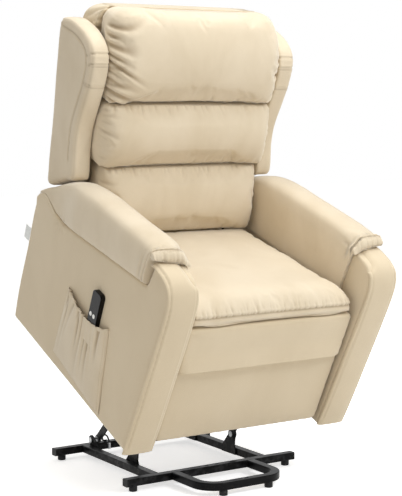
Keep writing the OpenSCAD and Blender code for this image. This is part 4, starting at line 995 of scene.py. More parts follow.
for side in (1, -1):
    rings = []
    for i, (p, o) in enumerate(zip(band_line, band_out)):
        s = i / (len(band_line) - 1)
        full = 0.55 + 0.45 * math.sin(math.pi * min(1, s + 0.12))
        flat = p + o * (0.4 + np.maximum(0, POST_SECTION[:, 1:] - 0.4) * full)
        rings.append(np.column_stack([side * (ARM_IN + POST_SECTION[:, 0]), flat]))
    band = skin(f"arm_front_{arm_sided(side)}", rings, cover_smooth, caps=6)
    press(band, band_detail(side))
    p, _ = vertices(band)
    across = p[:, 0] * side - ARM_IN
    inner = 1 - between(across, 0, 44)
    outer = between(across, 80, 98)
    p[:, 2] -= (20 * inner ** 1.6 + 5 * outer) * between(p[:, 2], 530, 606) * between(p[:, 1], -44, -10)
    p[:, 2] = np.clip(p[:, 2], 45, 617.4)
    set_vertices(band, p)
    upholstered(band, "chassis", f"arm_post_{arm_sided(side)}")

# %% [markdown]
# ## Arm pads
#
# Each arm has a loose-looking pad on top, which slopes down to the back. Its front ends in a thin
# pleated roll that lies over the band. Behind the roll a seam runs across the pad and down its outer
# side, and short pleats start from that seam. The pad is swept from front to back.

# %% Arm pads: sections
PAD_IN, PAD_WIDE = 280.0, 115.0
PAD_TOP = [(36, 635), (40, 640), (46, 644.5), (54, 647), (62, 650), (74, 652), (92, 652), (112, 651),
           (152, 650), (200, 646), (240, 643), (322, 637), (400, 631), (450, 625), (534, 610), (580, 593),
           (622, 571), (662, 543), (700, 517), (719, 501)]
# over the pad from the seat's side to the outer side, as shares of its width and height
OVER = [(0, 0.45), (0.02, 0.7), (0.09, 0.88), (0.24, 0.97), (0.5, 1.0), (0.76, 0.97), (0.91, 0.88),
        (0.985, 0.7), (1, 0.45), (0.985, 0.2), (0.95, 0.05), (0.89, 0)]
PAD_SECTION = smooth_curve([(0.13, 0), (0.03, 0.16)] + OVER, 100)
# towards the seat the cloth of the pad runs on down the arm to the seat cushion
INNER_FOOT = [(48, 616), (52, 604), (56, 560), (61, 490), (68, 468), (110, 460), (330, 440), (560, 424),
              (640, 440), (719, 470)]
SKEW = 15.0  # how much further back the roll lies at its outer side
INNER_DROP = 21.0  # how much lower the front lies on the side towards the seat


def pad_under(u):
    if u < 64:
        return 620.0
    if u < 76:
        return 620.0 - (u - 64) / 12 * 82.6
    return float(np.interp(u, *np.array(PAD_SEAM).T) + np.interp(u, [586, 606], [1.4, 0.2]))


def pad_width(u):
    """The pad is narrower at the back."""
    return PAD_WIDE - 11 * between(u, 470, 590)


def inner_section(u, under, high):
    """The section where the pad's cloth also hangs down the arm on the side towards the seat."""
    foot = min(float(np.interp(u, *np.array(INNER_FOOT).T)), under - 4)
    wide = pad_width(u)
    points = [(291.3, under + 0.6), (291.3, foot + 4), (288.6, foot), (283.4, foot + 1), (280.8, foot + 7)]
    points += [(280.2, foot + (under - foot) * t) for t in (0.35, 0.7)]
    points += [(PAD_IN + wide * sx, under + high * sz) for sx, sz in [(0, 0.1)] + OVER]
    return smooth_curve(points, 100)


print("pad:", PAD_WIDE, "mm wide at its front and", pad_width(600), "mm behind")

# %% Arm pads: roll, seam and pleats
def pad_detail(side):
    def detail(p, n):
        x, u, z = p.T
        across = x * side - PAD_IN
        u = u - SKEW * np.clip(across / PAD_WIDE, 0, 1) * (1 - between(u, 58, 104))
        roll = 1 - between(u, 54, 60)
        # the pleated roll, its seam and the pleats behind it
        out = gathers(across, z - 612, 3, 112,
                      count=15, depth=2.2, reach=60, width=3.2, seed=51 + side, lean=0.05) * roll
        behind = np.maximum(0, u - 57)
        top = between(n[:, 2], 0.3, 0.7)
        out += seam_valley(np.abs(u - 58), depth=2.2, width=2.6) * between(z, 620, 632)
        out += gathers(across, behind, 8, 112,
                       count=13, depth=1.9, reach=20, width=3.6, seed=53 + side, lean=0.3) * (1 - roll) * top
        out += gathers(across, behind, 60, 112,
                       count=7, depth=2.2, reach=26, width=4, seed=55 + side, lean=0.5) * (1 - roll) * top
        # folds beside the slit on the outer side
        outer = between(n[:, 0] * side, 0.2, 0.7)
        slit = u - np.interp(z, [536, 608, 650], [78, 66, 60])
        down = z - 536
        by_slit = outer * between(slit, 0, 5)
        out += gathers(slit, down * 0.15, 4, 40,
                       count=4, depth=2.4, reach=26, width=3.6, seed=57 + side, lean=0.1) * by_slit
        under = np.interp(u, *np.array(PAD_SEAM).T)
        by_seam = outer * between(u, 84, 110)
        out += gathers(u, z - under, 110, 560,
                       count=12, depth=0.8, reach=26, width=8, seed=57 + side, lean=0.4) * by_seam
        out += puckered(u, z, 1.6, 466) * outer
        corner = np.hypot(u - 54, z - 612)
        turn = np.degrees(np.arctan2(z - 612, u - 54))
        by_corner = between(-n[:, 0] * side + 0.6 * n[:, 2], 0.2, 0.6) * between(corner, 12, 20)
        by_corner *= across < 34
        out += gathers(turn * 0.5, corner - 20, -26, 46,
                       count=9, depth=3.4, reach=20, width=2.4, seed=60 + side, lean=0.02) * by_corner
        swell = between(z - under, 6, 40) * between(u, 60, 110)
        return out, (soft_folds(p, 150, 3.0, 2 + side) + soft_folds(p, 60, 0.4, 8 + side)) * swell
    return detail


print("underside of the pad: z =", round(pad_under(100), 1), "in front,", round(pad_under(700), 1), "behind")

# %% Arm pads: sweep
pad_places = np.concatenate([36 + 13 * (1 - np.cos(np.linspace(0, math.pi / 2, 9))), np.arange(50.5, 84, 1.5),
                             np.linspace(86, 719, 140)])
top_line = smooth_curve(PAD_TOP, 400)
for side in (1, -1):
    rings = []
    for u in pad_places:
        under = pad_under(u)
        high = float(np.interp(u, top_line[:, 0], top_line[:, 1])) - under
        if u > 50:
            x, z = inner_section(u, under, high).T
        else:
            k = math.sqrt(max(0, 1 - max(0, 1 - (u - 36) / 13) ** 2)) if u < 49 else 1.0
            middle = 0.5 * high
            x = PAD_IN + pad_width(u) * (0.5 + (PAD_SECTION[:, 0] - 0.5) * (0.93 + 0.07 * k))
            z = under + middle + (high * PAD_SECTION[:, 1] - middle) * (0.3 + 0.7 * k)
        inner = 1 - between(x - PAD_IN, 0, 40)
        z = z - INNER_DROP * inner ** 1.5 * (1 - between(u, 58, 110))
        # the roll runs a little askew, further back at the outer side
        skew = SKEW * (x - PAD_IN) / PAD_WIDE * (1 - between(u, 50, 100))
        # and the tail of the pad lies flush with the side of the arm
        share = (z - under) / high
        tail = between(u, 586, 620) * between(x, 376, 381) * (1 - between(share, 0.3, 0.6))
        x = x + (384 - x) * tail
        rings.append(np.column_stack([side * x, u + skew, z]))
    pad = skin(f"arm_pad_cover_{arm_sided(side)}", rings, cover, caps=7)
    press(pad, pad_detail(side))
    p, _ = vertices(pad)
    a = np.clip(p[:, 0] * side, 279.0, 398)
    p[:, 0] = a * side
    under = np.array([pad_under(u) for u in p[:, 1]])
    front = (1 - between(a - PAD_IN, 0, 40)) ** 1.5 * (1 - between(p[:, 1], 58, 110))
    hang = a < ARM_IN - 0.4
    p[:, 2] = np.where(hang & (p[:, 1] > 48), p[:, 2], np.maximum(p[:, 2], under - INNER_DROP * front))
    p[:, 1] = np.maximum(p[:, 1], 30)
    set_vertices(pad, p)
    upholstered(pad, "chassis", f"arm_pad_{arm_sided(side)}")

# %% [markdown]
# ## Wings
#
# A wing stands at each side of the head and shoulders. It is a plate with a wide boxed front. A seam
# runs parallel to its front edge on the outside, and where the edge bends at the top the cloth is
# taken up by three pairs of short tucks.

# %% Wings
WING_OUTLINE = [(597, 598), (620, 683), (628, 745), (620, 820), (613, 880), (615, 940), (636, 985),
                (680, 1010), (740, 1020), (806, 1016), (838, 992), (829, 907), (795, 745), (752, 560),
                (741, 520), (716, 516), (668, 548), (630, 575)]
WING_IN, WING_OUT = 300.0, 357.0
wing_line = smooth_curve(WING_OUTLINE, 260, closed=True)
WING_FRONT = smooth_curve(WING_OUTLINE[:10], 60)
wing_runs = np.concatenate([[0], np.cumsum(np.linalg.norm(np.diff(WING_FRONT, axis=0), axis=1))])
TUCKS = [float(np.interp(z, WING_FRONT[:40, 1], wing_runs[:40])) for z in (878, 942, 985)]


def wing_detail(side):
    def detail(p, n):
        across = p[:, 0] * side - WING_IN
        edge, along = to_line(p[:, 1:], WING_FRONT)
        front = between(-n[:, 1], 0.1, 0.5)
        outer = between(n[:, 0] * side, 0.3, 0.8)
        out = seam_valley(np.abs(edge - 30), depth=2.8, width=2.4) * outer * between(along, 20, 60)
        out += seam_valley(np.abs(across - 54), depth=1.2, width=2.4) * front
        for place in TUCKS:
            # a pair of tucks, which end just behind the seam
            for gap in (-2.5, 3.5):
                out += seam_valley(np.abs(along - place - gap),
                                   depth=3.0, width=1.7) * between(34 - edge, 0, 6)
        broad = (soft_folds(p, 160, 2.6, 6 + side) + soft_folds(p, 60, 0.4, 3 + side)) * outer
        return out, broad
    return detail


for side in (1, -1):
    edge_roll = rolled(WING_IN, WING_OUT, inner=6, outer=13, middle=10)
    wing = padded_plate(f"wing_cover_{arm_sided(side)}", wing_line, edge_roll, side, lift=3.4, rim=90,
                        material=cover, voxel=0.0042)
    press(wing, wing_detail(side))
    p, _ = vertices(wing)
    p[:, 0] = side * np.clip(p[:, 0] * side, 299.9, 364)
    set_vertices(wing, p)
    upholstered(wing, "back", f"wing_{arm_sided(side)}")

# %% [markdown]
# ## Footrest and flap
#
# Two flat pads hang under the seat front: a short flap, which closes the gap, and the footrest. Each
# is a board with a thin foam slab, wrapped in one cloth. So the faces are almost flat, with soft edges,
# corners that pull a little, and puckers along the edges where the cloth is stapled behind.

# %% Footrest and flap: measures and outline
FLAP_PIVOT = np.array([-28.0, 449.6])
LEAN = math.radians(2.8)
FOOT_HALF, FOOT_CORNER, FOOT_DEEP = 283.0, 16.0, 26.0


def on_pads(points):
    """Points (x, depth behind the face, height over the flap's hinge) in mm to chair mm."""
    p = np.asarray(points, float)
    u = FLAP_PIVOT[0] + p[..., 1] * math.cos(LEAN) - p[..., 2] * math.sin(LEAN)
    z = FLAP_PIVOT[1] + p[..., 1] * math.sin(LEAN) + p[..., 2] * math.cos(LEAN)
    return np.stack([p[..., 0], u, z], -1)


def from_pads(points):
    p = np.asarray(points, float)
    a, b = p[..., 1] - FLAP_PIVOT[0], p[..., 2] - FLAP_PIVOT[1]
    return np.stack([p[..., 0], a * math.cos(LEAN) + b * math.sin(LEAN),
                     -a * math.sin(LEAN) + b * math.cos(LEAN)], -1)


def pad_face(low, high, inset):
    """The pad's rounded outline from low to high, drawn in by inset."""
    middle, half_tall, radius = (low + high) / 2, (high - low) / 2, FOOT_CORNER - inset
    points = []
    for cx, cz, a0 in ((1, 1, 0), (-1, 1, 90), (-1, -1, 180), (1, -1, 270)):
        for a in np.radians(np.linspace(a0, a0 + 90, 8)):
            points.append((cx * (FOOT_HALF - FOOT_CORNER) + radius * math.cos(a),
                           middle + cz * (half_tall - FOOT_CORNER) + radius * math.sin(a)))
    points = np.array(points + points[:1])
    along = np.concatenate([[0], np.cumsum(np.linalg.norm(np.diff(points, axis=0), axis=1))])
    where = np.linspace(0, along[-1], 200, endpoint=False)
    return np.stack([np.interp(where, along, points[:, k]) for k in (0, 1)], 1)


print("pad outline:", len(pad_face(-145.6, -5.5, 0)), "points")

# %% Footrest and flap
# the rolled edge from the board to the face: depth behind the face, and how far it is drawn in
FOOT_ROLL = [(26, 3), (24.5, 1.2), (22, 0.2), (17, 0), (12, 0), (8, 0.4), (5.4, 1.6), (3.6, 3.4), (2.2, 5.6),
             (1.2, 8.6), (0.8, 12.4)]


def foot_pad(name, top, foot, setback, node, body, seed, lip=0.0):
    """A pad from top to foot below the flap's hinge; its face lies back by setback, and lip stands out."""
    low, high = -foot, -top
    rise = (FOOT_DEEP - setback) / FOOT_DEEP

    def laid(outline, depth):
        return on_pads(np.column_stack([outline[:, 0], np.full(len(outline), depth), outline[:, 1]]))

    rings = []
    for depth, inset in FOOT_ROLL:
        rings.append(laid(pad_face(low, high, inset), FOOT_DEEP - (FOOT_DEEP - depth) * rise))
    last_depth, last_inset = FOOT_ROLL[-1]
    face = pad_face(low, high, last_inset)
    middle = np.array([0, (low + high) / 2])
    for s in np.linspace(1, 0.03, 40)[1:]:
        rings.append(laid(middle + (face - middle) * s, setback + last_depth * rise - 2.6 * (1 - s ** 4)))
    pad = skin(name, rings, cover_smooth, caps=5)

    def detail(p, n):
        x, _, h = from_pads(p).T
        front = between(-n[:, 1], 0.05, 0.5)
        side_gap = FOOT_HALF - np.abs(x)
        out = gathers(x, high - h, -276, 276,
                      count=16, depth=0.8, reach=22, width=6, seed=seed, lean=0.3) * front
        out += gathers(x, h - low, -276, 276,
                       count=16, depth=0.8, reach=22, width=6, seed=seed + 1, lean=0.3) * front
        out += gathers(h, side_gap, low, high,
                       count=8, depth=1.0, reach=20, width=6, seed=seed + 2, lean=0.3) * front
        inner = between(np.minimum(side_gap, np.minimum(high - h, h - low)), 4, 40) * front
        return out, (soft_folds(p, 150, 2.4, seed, (1, 1, 0.8)) + soft_folds(p, 50, 0.4, seed + 1)) * inner

    press(pad, detail)
    p, _ = vertices(pad)
    q = from_pads(p)
    q[:, 2] = np.clip(q[:, 2], low, high)
    # the lower edge stands out as a firm lip, which slopes back to the pad's two ends
    up = q[:, 2] - low
    q[:, 1] -= lip * np.clip(1 - up / 70, 0, 1) ** 2 * between(FOOT_DEEP - q[:, 1], 0, 20) \
        * np.clip((FOOT_HALF - np.abs(q[:, 0])) / 27, 0, 1)
    q[:, 2] -= min(lip, 1) * 0.7 * up * (1 - between(up, 4, 34))
    set_vertices(pad, on_pads(q))
    upholstered(pad, body, node)


foot_pad("flap_cover", top=5.5, foot=145.6, setback=0, node="flap_pad", body="flap", seed=81, lip=12.0)
foot_pad("footrest_cover", top=149.6, foot=388.4, setback=9, node="footrest_pad", body="footrest", seed=85)

# %% [markdown]
# ## Outside of the back
#
# Behind the cushions the back is closed by a taut panel, wide at the wings and narrower where it
# drops between the arms. It is a stack of level rings. Seams run down both rear corners, and the
# cloth folds where it turns round the upper corners.

# %% Back cover: shape
def rear_u(z):
    return 728 + (z - 428) * 0.187


COVER_FOOT, COVER_HEAD, COVER_CORNER = 338.0, 1056.0, 52.0
COVER_HALF, COVER_STEP = 275.0, 24.6  # half width between the arms, and how much wider it is above them
CORNER_SEAM = 0.93  # place of the rear seams, as a share of the half width


def cover_half(z):
    return COVER_HALF + COVER_STEP * between(z, 556, 568)


SIDE_SECTION = [(-1, 0), (-1, 0.4), (-1, 0.75), (-0.99, 0.87), (-0.965, 0.95), (-0.92, 0.99), (-0.8, 1.02),
                (-0.6, 1.06), (-0.3, 1.09), (0, 1.1)]
SIDE_SECTION += [(-k, v) for k, v in reversed(SIDE_SECTION[:-1])]
section = np.vstack([smooth_curve(SIDE_SECTION, 110),
                     np.column_stack([np.linspace(0.96, -0.96, 40), np.zeros(40)])])
head_turn = COVER_HEAD - 54 * (1 - np.sin(np.linspace(0.1, math.pi / 2, 14)))
rings = []
for z in np.concatenate([[338, 339.5, 343, 350, 360], np.linspace(372, 552, 26), np.linspace(556, 568, 6),
                         np.linspace(580, 1000, 50), head_turn]):
    q = max(0, z - COVER_HEAD + COVER_CORNER) / COVER_CORNER
    half = cover_half(z) - COVER_CORNER * (1 - math.sqrt(1 - min(0.98, q * q)))
    full = float(dome((COVER_HEAD + 4 - z) / 60, 2) * dome((z - COVER_FOOT + 14) / 34, 2))
    front = lean_u(z)
    rear = front + (rear_u(z) - front) * (0.45 + 0.55 * full)
    rings.append(np.column_stack([section[:, 0] * half, front + (rear - front) * section[:, 1],
                                  np.full(len(section), float(z))]))
back = skin("back_cover_cloth", rings, cover_smooth, caps=5)
print("back cover:", len(rings), "rings")

# %% Back cover: seams and folds
def back_detail(p, n):
    x, u, z = p.T
    half = cover_half(z) - 0.5 * np.maximum(0, z - 1010)
    behind = between(n[:, 1], 0.2, 0.7)
    corner = np.abs(np.abs(x) - half * CORNER_SEAM)
    out = seam_valley(corner, depth=2.4, width=2.6) * behind
    out += gathers(z, corner, 350, 1040, count=30, depth=0.8, reach=20, width=7, seed=91, lean=0.3) * behind
    out += gathers(x, 1050 - z, -270, 270,
                   count=18, depth=1.4, reach=40, width=7, seed=92, lean=0.4) * behind
    side_top = gathers(z + 0.5 * (u - 744), np.abs(u - 748), 965, 1085,
                       count=9, depth=4.6, reach=60, width=5, seed=94, lean=0.3) \
        * between(np.abs(x), 205, 262)
    return out + side_top, soft_folds(p, 190, 3.4, 12) * behind * between(z, 350, 420)


press(back, back_detail)
# its top rises towards the head cushion, so that the two run into each other
p, _ = vertices(back)
p[:, 2] += 20 * between(p[:, 2], 985, 1052) * (1 - np.clip((p[:, 1] - 744) / 96, 0, 1))
set_vertices(back, p)
upholstered(back, "back", "back_cover")

# %% [markdown]
# ## Side pocket
#
# The pocket is one sheet of the cover cloth, sewn to the arm along its front, foot and rear edges.
# Its mouth is gathered on elastic, sags in the middle and stands open enough for the hand control.
# The sheet is a grid of points between the mouth line and the foot line, pushed out from the arm by a
# dome, with folds that hang from the elastic. It gets a little thickness, and the elastic hem is a
# second, narrow sheet round the mouth.

# %% Pocket sheet
ACROSS, UPWARDS = 110, 70  # points of the sheet along the mouth and from its foot to its mouth
MOUTH = smooth_curve([(196, 326), (225, 314), (262, 305), (306, 301), (360, 306), (410, 319), (446, 319)],
                     ACROSS)
FOOT_LINE = np.column_stack([np.linspace(158, 462, ACROSS), np.linspace(66, 92, ACROSS)])
POCKET_X = -383.4
POCKET_WIDE, POCKET_TALL = 250, 240


def grid_faces(rows, columns):
    """Quads over a grid of points that is given row by row."""
    corners = [i * columns + j for i in range(rows - 1) for j in range(columns - 1)]
    return [(a, a + 1, a + columns + 1, a + columns) for a in corners]


def pocket_bulge(s, t, u, z):
    """How far the cloth stands off the arm at s along the mouth and t up from the foot."""
    full = dome(s / 0.18, 2) * dome((1 - s) / 0.42, 2) * dome(t / 0.5, 2)
    down = (1 - t) * POCKET_TALL
    folds = gathers(s * POCKET_WIDE, down, 14, 240,
                    count=12, depth=7.0, reach=120, width=5.0, seed=101, lean=0.16)
    folds += gathers(s * POCKET_WIDE, down, 20, 236,
                     count=9, depth=3.6, reach=60, width=3.6, seed=102, lean=0.25)
    loose = between(np.abs(u - 273), 22, 44)
    folds = np.where(folds > 0, folds * 0.6, folds * np.maximum(loose, (z < 240)))
    edge = between(s, 0, 0.06) * between(1 - s, 0, 0.06) * between(t, 0, 0.12)
    return np.maximum(0.0, 16.4 * full + folds * edge), folds * edge


sheet_points, sheet_folds = [], []
for t in np.arange(UPWARDS) / (UPWARDS - 1):
    at = FOOT_LINE + (MOUTH - FOOT_LINE) * t
    off, depth = pocket_bulge(np.linspace(0, 1, ACROSS), np.full(ACROSS, t), at[:, 0], at[:, 1])
    sheet_folds.append(depth)
    sheet_points.append(np.column_stack([POCKET_X - off, at]))
pocket = make_mesh("side_pocket_cloth", raised(np.vstack(sheet_points)), grid_faces(UPWARDS, ACROSS), cover)
note_creases(pocket.data, np.concatenate(sheet_folds))
thick = pocket.modifiers.new("cloth", "SOLIDIFY")
thick.thickness = 0.0022
thick.offset = 1.0
if vertices(pocket)[1][:, 0].mean() > 0:
    pocket.data.flip_normals()
swap_mesh(pocket, evaluated(pocket), cover)
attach(pocket, "chassis")
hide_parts("side_pocket")
mouth_long = float(np.linalg.norm(np.diff(MOUTH, axis=0), axis=1).sum())
print("pocket mouth", round(mouth_long), "mm, outermost x", round(float(vertices(pocket)[0][:, 0].min()), 1))

# %% Elastic hem of the pocket
along_hem = np.linspace(0, 1, ACROSS)
ruffle = np.sin(along_hem * 92) * 0.7 + np.sin(along_hem * 57 + 1) * 0.5
turn = np.linspace(0, 2 * math.pi, 14, endpoint=False)
hem_rings = []
for (x, u, z), r in zip(sheet_points[-1], ruffle):
    hem_rings.append(np.column_stack([x - 1.2 + 1.7 * (1.0 + 0.2 * r) * np.cos(turn), np.full(len(turn), u),
                                      z - 5 + 0.8 * r + 6.2 * np.sin(turn)]))
hem = skin("pocket_hem", hem_rings, cover, caps=3)
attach(hem, "chassis")

# %% [markdown]
# ## Seam tag
#
# A small woven label is caught in the rear seam of the arm. It carries no words. It is a short strip
# of white tape that curls a little, with its free end turned.

# %% Tag
TAG_ROWS, TAG_COLUMNS = 12, 16
tag_points = []
for v in np.arange(TAG_ROWS) / (TAG_ROWS - 1):
    for w in np.arange(TAG_COLUMNS) / (TAG_COLUMNS - 1):
        tag_points.append((-378.4 - 2.2 * math.sin(v * 2.2) * v, 742 + 30 * v, 357 - 44 * w + 1.2 * v * v))
tape = ribbed("white_tape", "Z", scale=420.0, distortion=0.5, dark=srgb(222, 226, 224),
              light=srgb(246, 248, 247), bump=0.4, depth=0.0003, rough=0.55)
tag = make_mesh("seam_tag_tape", raised(tag_points), grid_faces(TAG_ROWS, TAG_COLUMNS), tape)
thick = tag.modifiers.new("tape", "SOLIDIFY")
thick.thickness = 0.0006
swap_mesh(tag, evaluated(tag), tape)
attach(tag, "chassis")
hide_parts("seam_tag")
print("tag:", len(tag.data.vertices), "vertices")

# %% [markdown]
# ## Finishes of the frame, drive and hand control
#
# The tubes and links have a black powder coat: half gloss, with a fine orange-peel bump, some dust on
# faces that look up, and rubbed edges where parts knock in shipping. Bolts and rivets are zinc, dull
# and slightly blotchy. The hand control is glossy moulded plastic with two white keys. Edge wear and
# dust are wanted by several finishes, so both come from one group, which gives masks only.

# %% Wear group
wear_group, gin, gout = new_group(
    "edge_wear_and_dust", {"Edge Width": 0.5, "Breakup": 60.0},
    {"Edges": "NodeSocketFloat", "Dust": "NodeSocketFloat", "Blotches": "NodeSocketFloat"})
t = wear_group
geometry = add(t, "ShaderNodeNewGeometry")
place = add(t, "ShaderNodeTexCoord").outputs["Object"]
sharp = remap(t, geometry.outputs["Pointiness"], 0.53, 0.62)
broken = remap(t, speckle(t, place, gin.outputs["Breakup"], 5.0), 0.45, 0.62)
edges = math_node(t, "MULTIPLY", math_node(t, "MULTIPLY", sharp, broken), gin.outputs["Edge Width"])
up = add(t, "ShaderNodeSeparateXYZ", None, Vector=geometry.outputs["Normal"]).outputs[2]
grey = speckle(t, place, 22.0, 6.0, 0.7)
dust = math_node(t, "MULTIPLY", remap(t, up, 0.4, 1.0), remap(t, grey, 0.4, 0.75))
t.links.new(edges, gout.inputs["Edges"])
t.links.new(dust, gout.inputs["Dust"])
t.links.new(grey, gout.inputs["Blotches"])
print("wear group sockets:", [i.name for i in wear_group.interface.items_tree])

# %% Hard finishes
def hard_finish(name, colour, worn, rough, metal=0.0, coat=0.0, grain=900.0, bump=0.25, edge=0.6, dust=0.12,
                edge_metal=0.0, blotch=0.08, shine=0.5):
    """A moulded, painted or plated finish: a base colour with grain, blotches, worn edges and dust."""
    material, tree, shader = new_material(name)
    wear = group_in(material, wear_group, Edge_Width=edge)
    place = add(tree, "ShaderNodeTexCoord").outputs["Object"]
    base = scaled(tree, colour[:3], remap(tree, wear.outputs["Blotches"], 0.3, 0.7, 1 - blotch, 1 + blotch))
    base = blended(tree, wear.outputs["Edges"], base, worn)
    dusty = math_node(tree, "MULTIPLY", wear.outputs["Dust"], dust)
    base = blended(tree, dusty, base, srgb(168, 162, 152))
    roughness = remap(tree, wear.outputs["Blotches"], 0.3, 0.7, rough - 0.05, rough + 0.07)
    tree.links.new(base, shader.inputs["Base Color"])
    tree.links.new(math_node(tree, "ADD", roughness, dusty), shader.inputs["Roughness"])
    if metal == 0 and edge_metal > 0:
        bare = math_node(tree, "MULTIPLY", wear.outputs["Edges"], edge_metal)
        tree.links.new(bare, shader.inputs["Metallic"])
    else:
        shader.inputs["Metallic"].default_value = metal
    shader.inputs["Specular IOR Level"].default_value = shine
    shader.inputs["Coat Weight"].default_value = coat
    shader.inputs["Coat Roughness"].default_value = 0.12
    tree.links.new(bumped(tree, speckle(tree, place, grain, 2.0), bump, 0.0002), shader.inputs["Normal"])
    return material


powder = hard_finish("black_powder_coat", srgb(12, 12, 13), srgb(74, 74, 76), 0.3, coat=0.02, grain=700.0,
                     bump=0.2, edge=0.3, dust=0.01, edge_metal=0.9, shine=0.08)
zinc = hard_finish("zinc_plate", srgb(176, 178, 180), srgb(206, 207, 208), 0.34, metal=1.0, grain=500.0,
                   bump=0.2, edge=0.5, dust=0.1, blotch=0.12)
gloss = hard_finish("gloss_black_plastic", srgb(6, 6, 7), srgb(34, 35, 37), 0.22, coat=0.03, grain=260.0,
                    bump=0.05, edge=0.3, dust=0.0, shine=0.2)
moulded = hard_finish("moulded_black_plastic", srgb(15, 15, 16), srgb(56, 56, 58), 0.5, grain=1500.0,
                      bump=0.4, edge=0.3, dust=0.02, shine=0.25)
white_keys = hard_finish("white_key_plastic", srgb(238, 238, 234), srgb(205, 205, 200), 0.3, coat=0.2,
                         grain=800.0, bump=0.08, edge=0.2, dust=0.02, blotch=0.02)
bush = hard_finish("nylon_bush", srgb(222, 219, 208), srgb(200, 196, 184), 0.45, grain=900.0, bump=0.1,
                   edge=0.2)
print("hard finishes:", [m.name for m in (powder, zinc, gloss, moulded, white_keys, bush)])

# %% [markdown]
# The boards behind the flap, footrest and seat front are plain plywood. Its grain is a wave texture
# stretched along the board and bent by noise, with fine pores laid over it.

# %% Plywood
plywood, tree, shader = new_material("plywood")
place = add(tree, "ShaderNodeTexCoord").outputs["Object"]
along_board = add(tree, "ShaderNodeMapping", None, Vector=place, Scale=(0.12, 1.0, 1.0)).outputs[0]
grain_lines = add(tree, "ShaderNodeTexWave", {"wave_type": "BANDS", "bands_direction": "Z"},
                  Vector=along_board, Scale=14.0, Distortion=9.0, Detail=4.0).outputs[1]
pores = speckle(tree, along_board, 420.0, 4.0, 0.8)
wood = blended(tree, grain_lines, srgb(203, 168, 120), srgb(178, 138, 92))
wood = scaled(tree, wood, remap(tree, pores, 0.35, 0.6, 0.8, 1.04))
tree.links.new(wood, shader.inputs["Base Color"])
tree.links.new(bumped(tree, pores, 0.35, 0.0004), shader.inputs["Normal"])
shader.inputs["Roughness"].default_value = 0.68
print("plywood nodes:", len(tree.nodes))

# %% Give each frame part its finish
FINISH = {
    powder: ["base_side_rails", "base_rear_bar", "base_front_bar", "base_front_loop", "base_link_brackets",
             "lift_links_rear", "torque_tube", "torque_crank", "lift_links_front", "lift_side_plates",
             "recliner_side_plates", "front_cross_tube", "rear_motor_tube", "seat_frame", "back_frame",
             "drive_links", "footrest_control_links", "footrest_front_links", "footrest_top_links",
             "footrest_brackets", "actuator_tube"],
    zinc: ["base_pivot_rivets", "crank_pin", "front_link_studs", "seat_frame_bolts", "seat_springs",
           "arm_mount_bolts", "control_link_rivets", "back_hinge_bolts", "actuator_rod",
           "motor_lead_connector"],
    moulded: ["base_end_caps", "base_feet", "actuator_motor", "motor_lead", "handset_socket"],
    gloss: ["handset_shell"],
    white_keys: ["handset_key_left", "handset_key_right"],
    bush: ["torque_tube_bushes"],
    plywood: ["seat_front_board", "footrest_board", "flap_board"],
}
for finish, names in FINISH.items():
    for name in names:
        mesh = nodes[name].data
        mesh.materials.clear()
        mesh.materials.append(finish)
print("finished frame parts:", sum(len(v) for v in FINISH.values()))

# %% [markdown]
# ## Stitching
#
# The seams that show are top-stitched with thick thread. A stitch is about 5 mm of thread that dips
# into the cloth at both ends. It is a tiny spindle of six sides, laid along the seam on the surface of the
# piece below it. All stitches of one seam are one mesh, which rides with its piece.

# %% Stitches along a seam
STITCH, PITCH, THREAD_RADIUS, PROUD = 4.6, 6.8, 0.55, 0.35
SIDES = 6
# rings of one stitch: place along it, share of its radius, and height over the cloth
SPINDLE = [(0, 0.35, -0.3), (0.15, 0.9, PROUD * 0.7), (0.5, 1.0, PROUD), (0.85, 0.9, PROUD * 0.7),
           (1, 0.35, -0.3)]


def stitches(name, obj, path, towards, body):
    """Stitches along path (chair mm), dropped on obj from the side that towards points to."""
    path = np.asarray(path, float)
    surface = obj.evaluated_get(bpy.context.evaluated_depsgraph_get())
    steps = np.linalg.norm(np.diff(path, axis=0), axis=1)
    along = np.concatenate([[0], np.cumsum(steps)])
    aim_from = raised(towards) - raised(np.zeros(3))
    direction = Vector(-aim_from / np.linalg.norm(aim_from))
    points, faces, made = [], [], 0
    for start in np.arange(2, along[-1] - STITCH - 2, PITCH):
        ends = []
        for where in (start, start + STITCH):
            spot = np.array([np.interp(where, along, path[:, k]) for k in range(3)])
            origin = Vector(raised(spot)) - direction * 0.04
            hit, place, normal, _ = surface.ray_cast(origin, direction, distance=0.09)
            if hit:
                ends.append((place, normal))
        # a stitch needs cloth under both ends, and no step between them
        if len(ends) < 2 or (ends[1][0] - ends[0][0]).length > 0.009:
            continue
        (a, na), (b, nb) = ends
        up = (na + nb).normalized()
        run = (b - a).normalized()
        across = run.cross(up).normalized()
        base = len(points)
        for f, r, rise in SPINDLE:
            centre = a.lerp(b, f) + up * rise / 1000
            for w in np.arange(SIDES) * 2 * math.pi / SIDES:
                points.append(centre + (across * math.cos(w) + up * math.sin(w)) * THREAD_RADIUS * r / 1000)
        last = base + SIDES * (len(SPINDLE) - 1)
        for ring in range(base, last, SIDES):
            for k in range(SIDES):
                p0, p1 = ring + k, ring + (k + 1) % SIDES
                faces.append((p0, p1, p1 + SIDES, p0 + SIDES))
        faces.append(tuple(base + k for k in reversed(range(SIDES))))
        faces.append(tuple(last + k for k in range(SIDES)))
        made += 1
    if not made:
        print(name, "found no surface")
        return
    seam = make_mesh(name, points, faces, thread)
    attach(seam, body)
    print(name, made, "stitches")


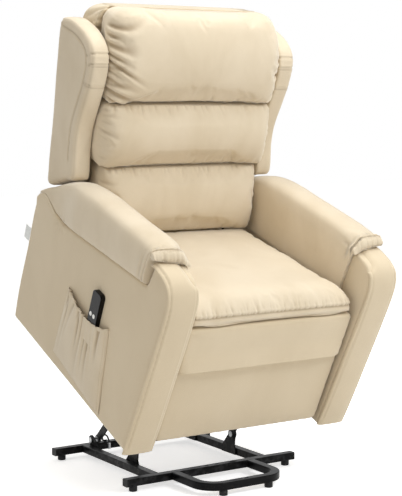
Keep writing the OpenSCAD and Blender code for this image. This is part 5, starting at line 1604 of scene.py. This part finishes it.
print("one stitch:", SIDES * len(SPINDLE), "vertices")

# %% The seams that are stitched
for side in (1, -1):
    word, outwards = arm_sided(side), (side, 0, 0)
    pad = bpy.data.objects[f"arm_pad_cover_{word}"]
    panel = bpy.data.objects[f"arm_side_{word}"]
    wing = bpy.data.objects[f"wing_cover_{word}"]
    line = smooth_curve([(u, z + 5) for u, z in PAD_SEAM[1:4]], 200)[4:-2]
    stitches(f"pad_stitches_{word}", pad, at_x(side * 392, line), outwards, "chassis")
    down = drawn_in(panel_outline, 11)[150:208]
    stitches(f"panel_rear_stitches_{word}", panel, at_x(side * 386, down), outwards, "chassis")
    inset = drawn_in(wing_line, 35)
    keep = inset[(inset[:, 1] > 630) & (inset[:, 0] < 730)]
    start = int(np.argmax(np.linalg.norm(np.diff(keep, axis=0), axis=1))) + 1
    keep = np.roll(keep, -start, axis=0) if np.linalg.norm(keep[0] - keep[-1]) < 60 else keep
    stitches(f"wing_stitches_{word}", wing, at_x(side * 368, keep), outwards, "back")
for word, end, inset, first in (("rear", -1, -6, 0.0), ("front", 0, 6, 0.02)):
    t = np.linspace(first, 1, 60)[:, None]
    edge = MOUTH[end] + (FOOT_LINE[end] - MOUTH[end]) * t + [inset, 0]
    stitches(f"pocket_{word}_stitches", pocket, at_x(-392, edge), (-1, 0, 0), "chassis")
pocket_foot = np.column_stack([np.linspace(166, 456, 80), np.linspace(72, 97, 80)])
stitches("pocket_foot_stitches", pocket, at_x(-392, pocket_foot), (-1, 0, 0), "chassis")
for name, level in BAND_SEAMS.items():
    band_path = np.column_stack([np.linspace(-262, 262, 200), np.full(200, -30.0), np.full(200, level)])
    stitches(f"seat_band_stitches_{name}", seat_cushion, band_path, (0, -1, 0), "chassis")
for side in (1, -1):
    seam_x = side * (CORNER_SEAM * (COVER_HALF + COVER_STEP) - 6)
    rear = at_x(seam_x, np.column_stack([np.full(160, 850.0), np.linspace(585, 990, 160)]))
    stitches(f"back_corner_stitches_{arm_sided(side)}", back, rear, (0, 1, 0), "back")
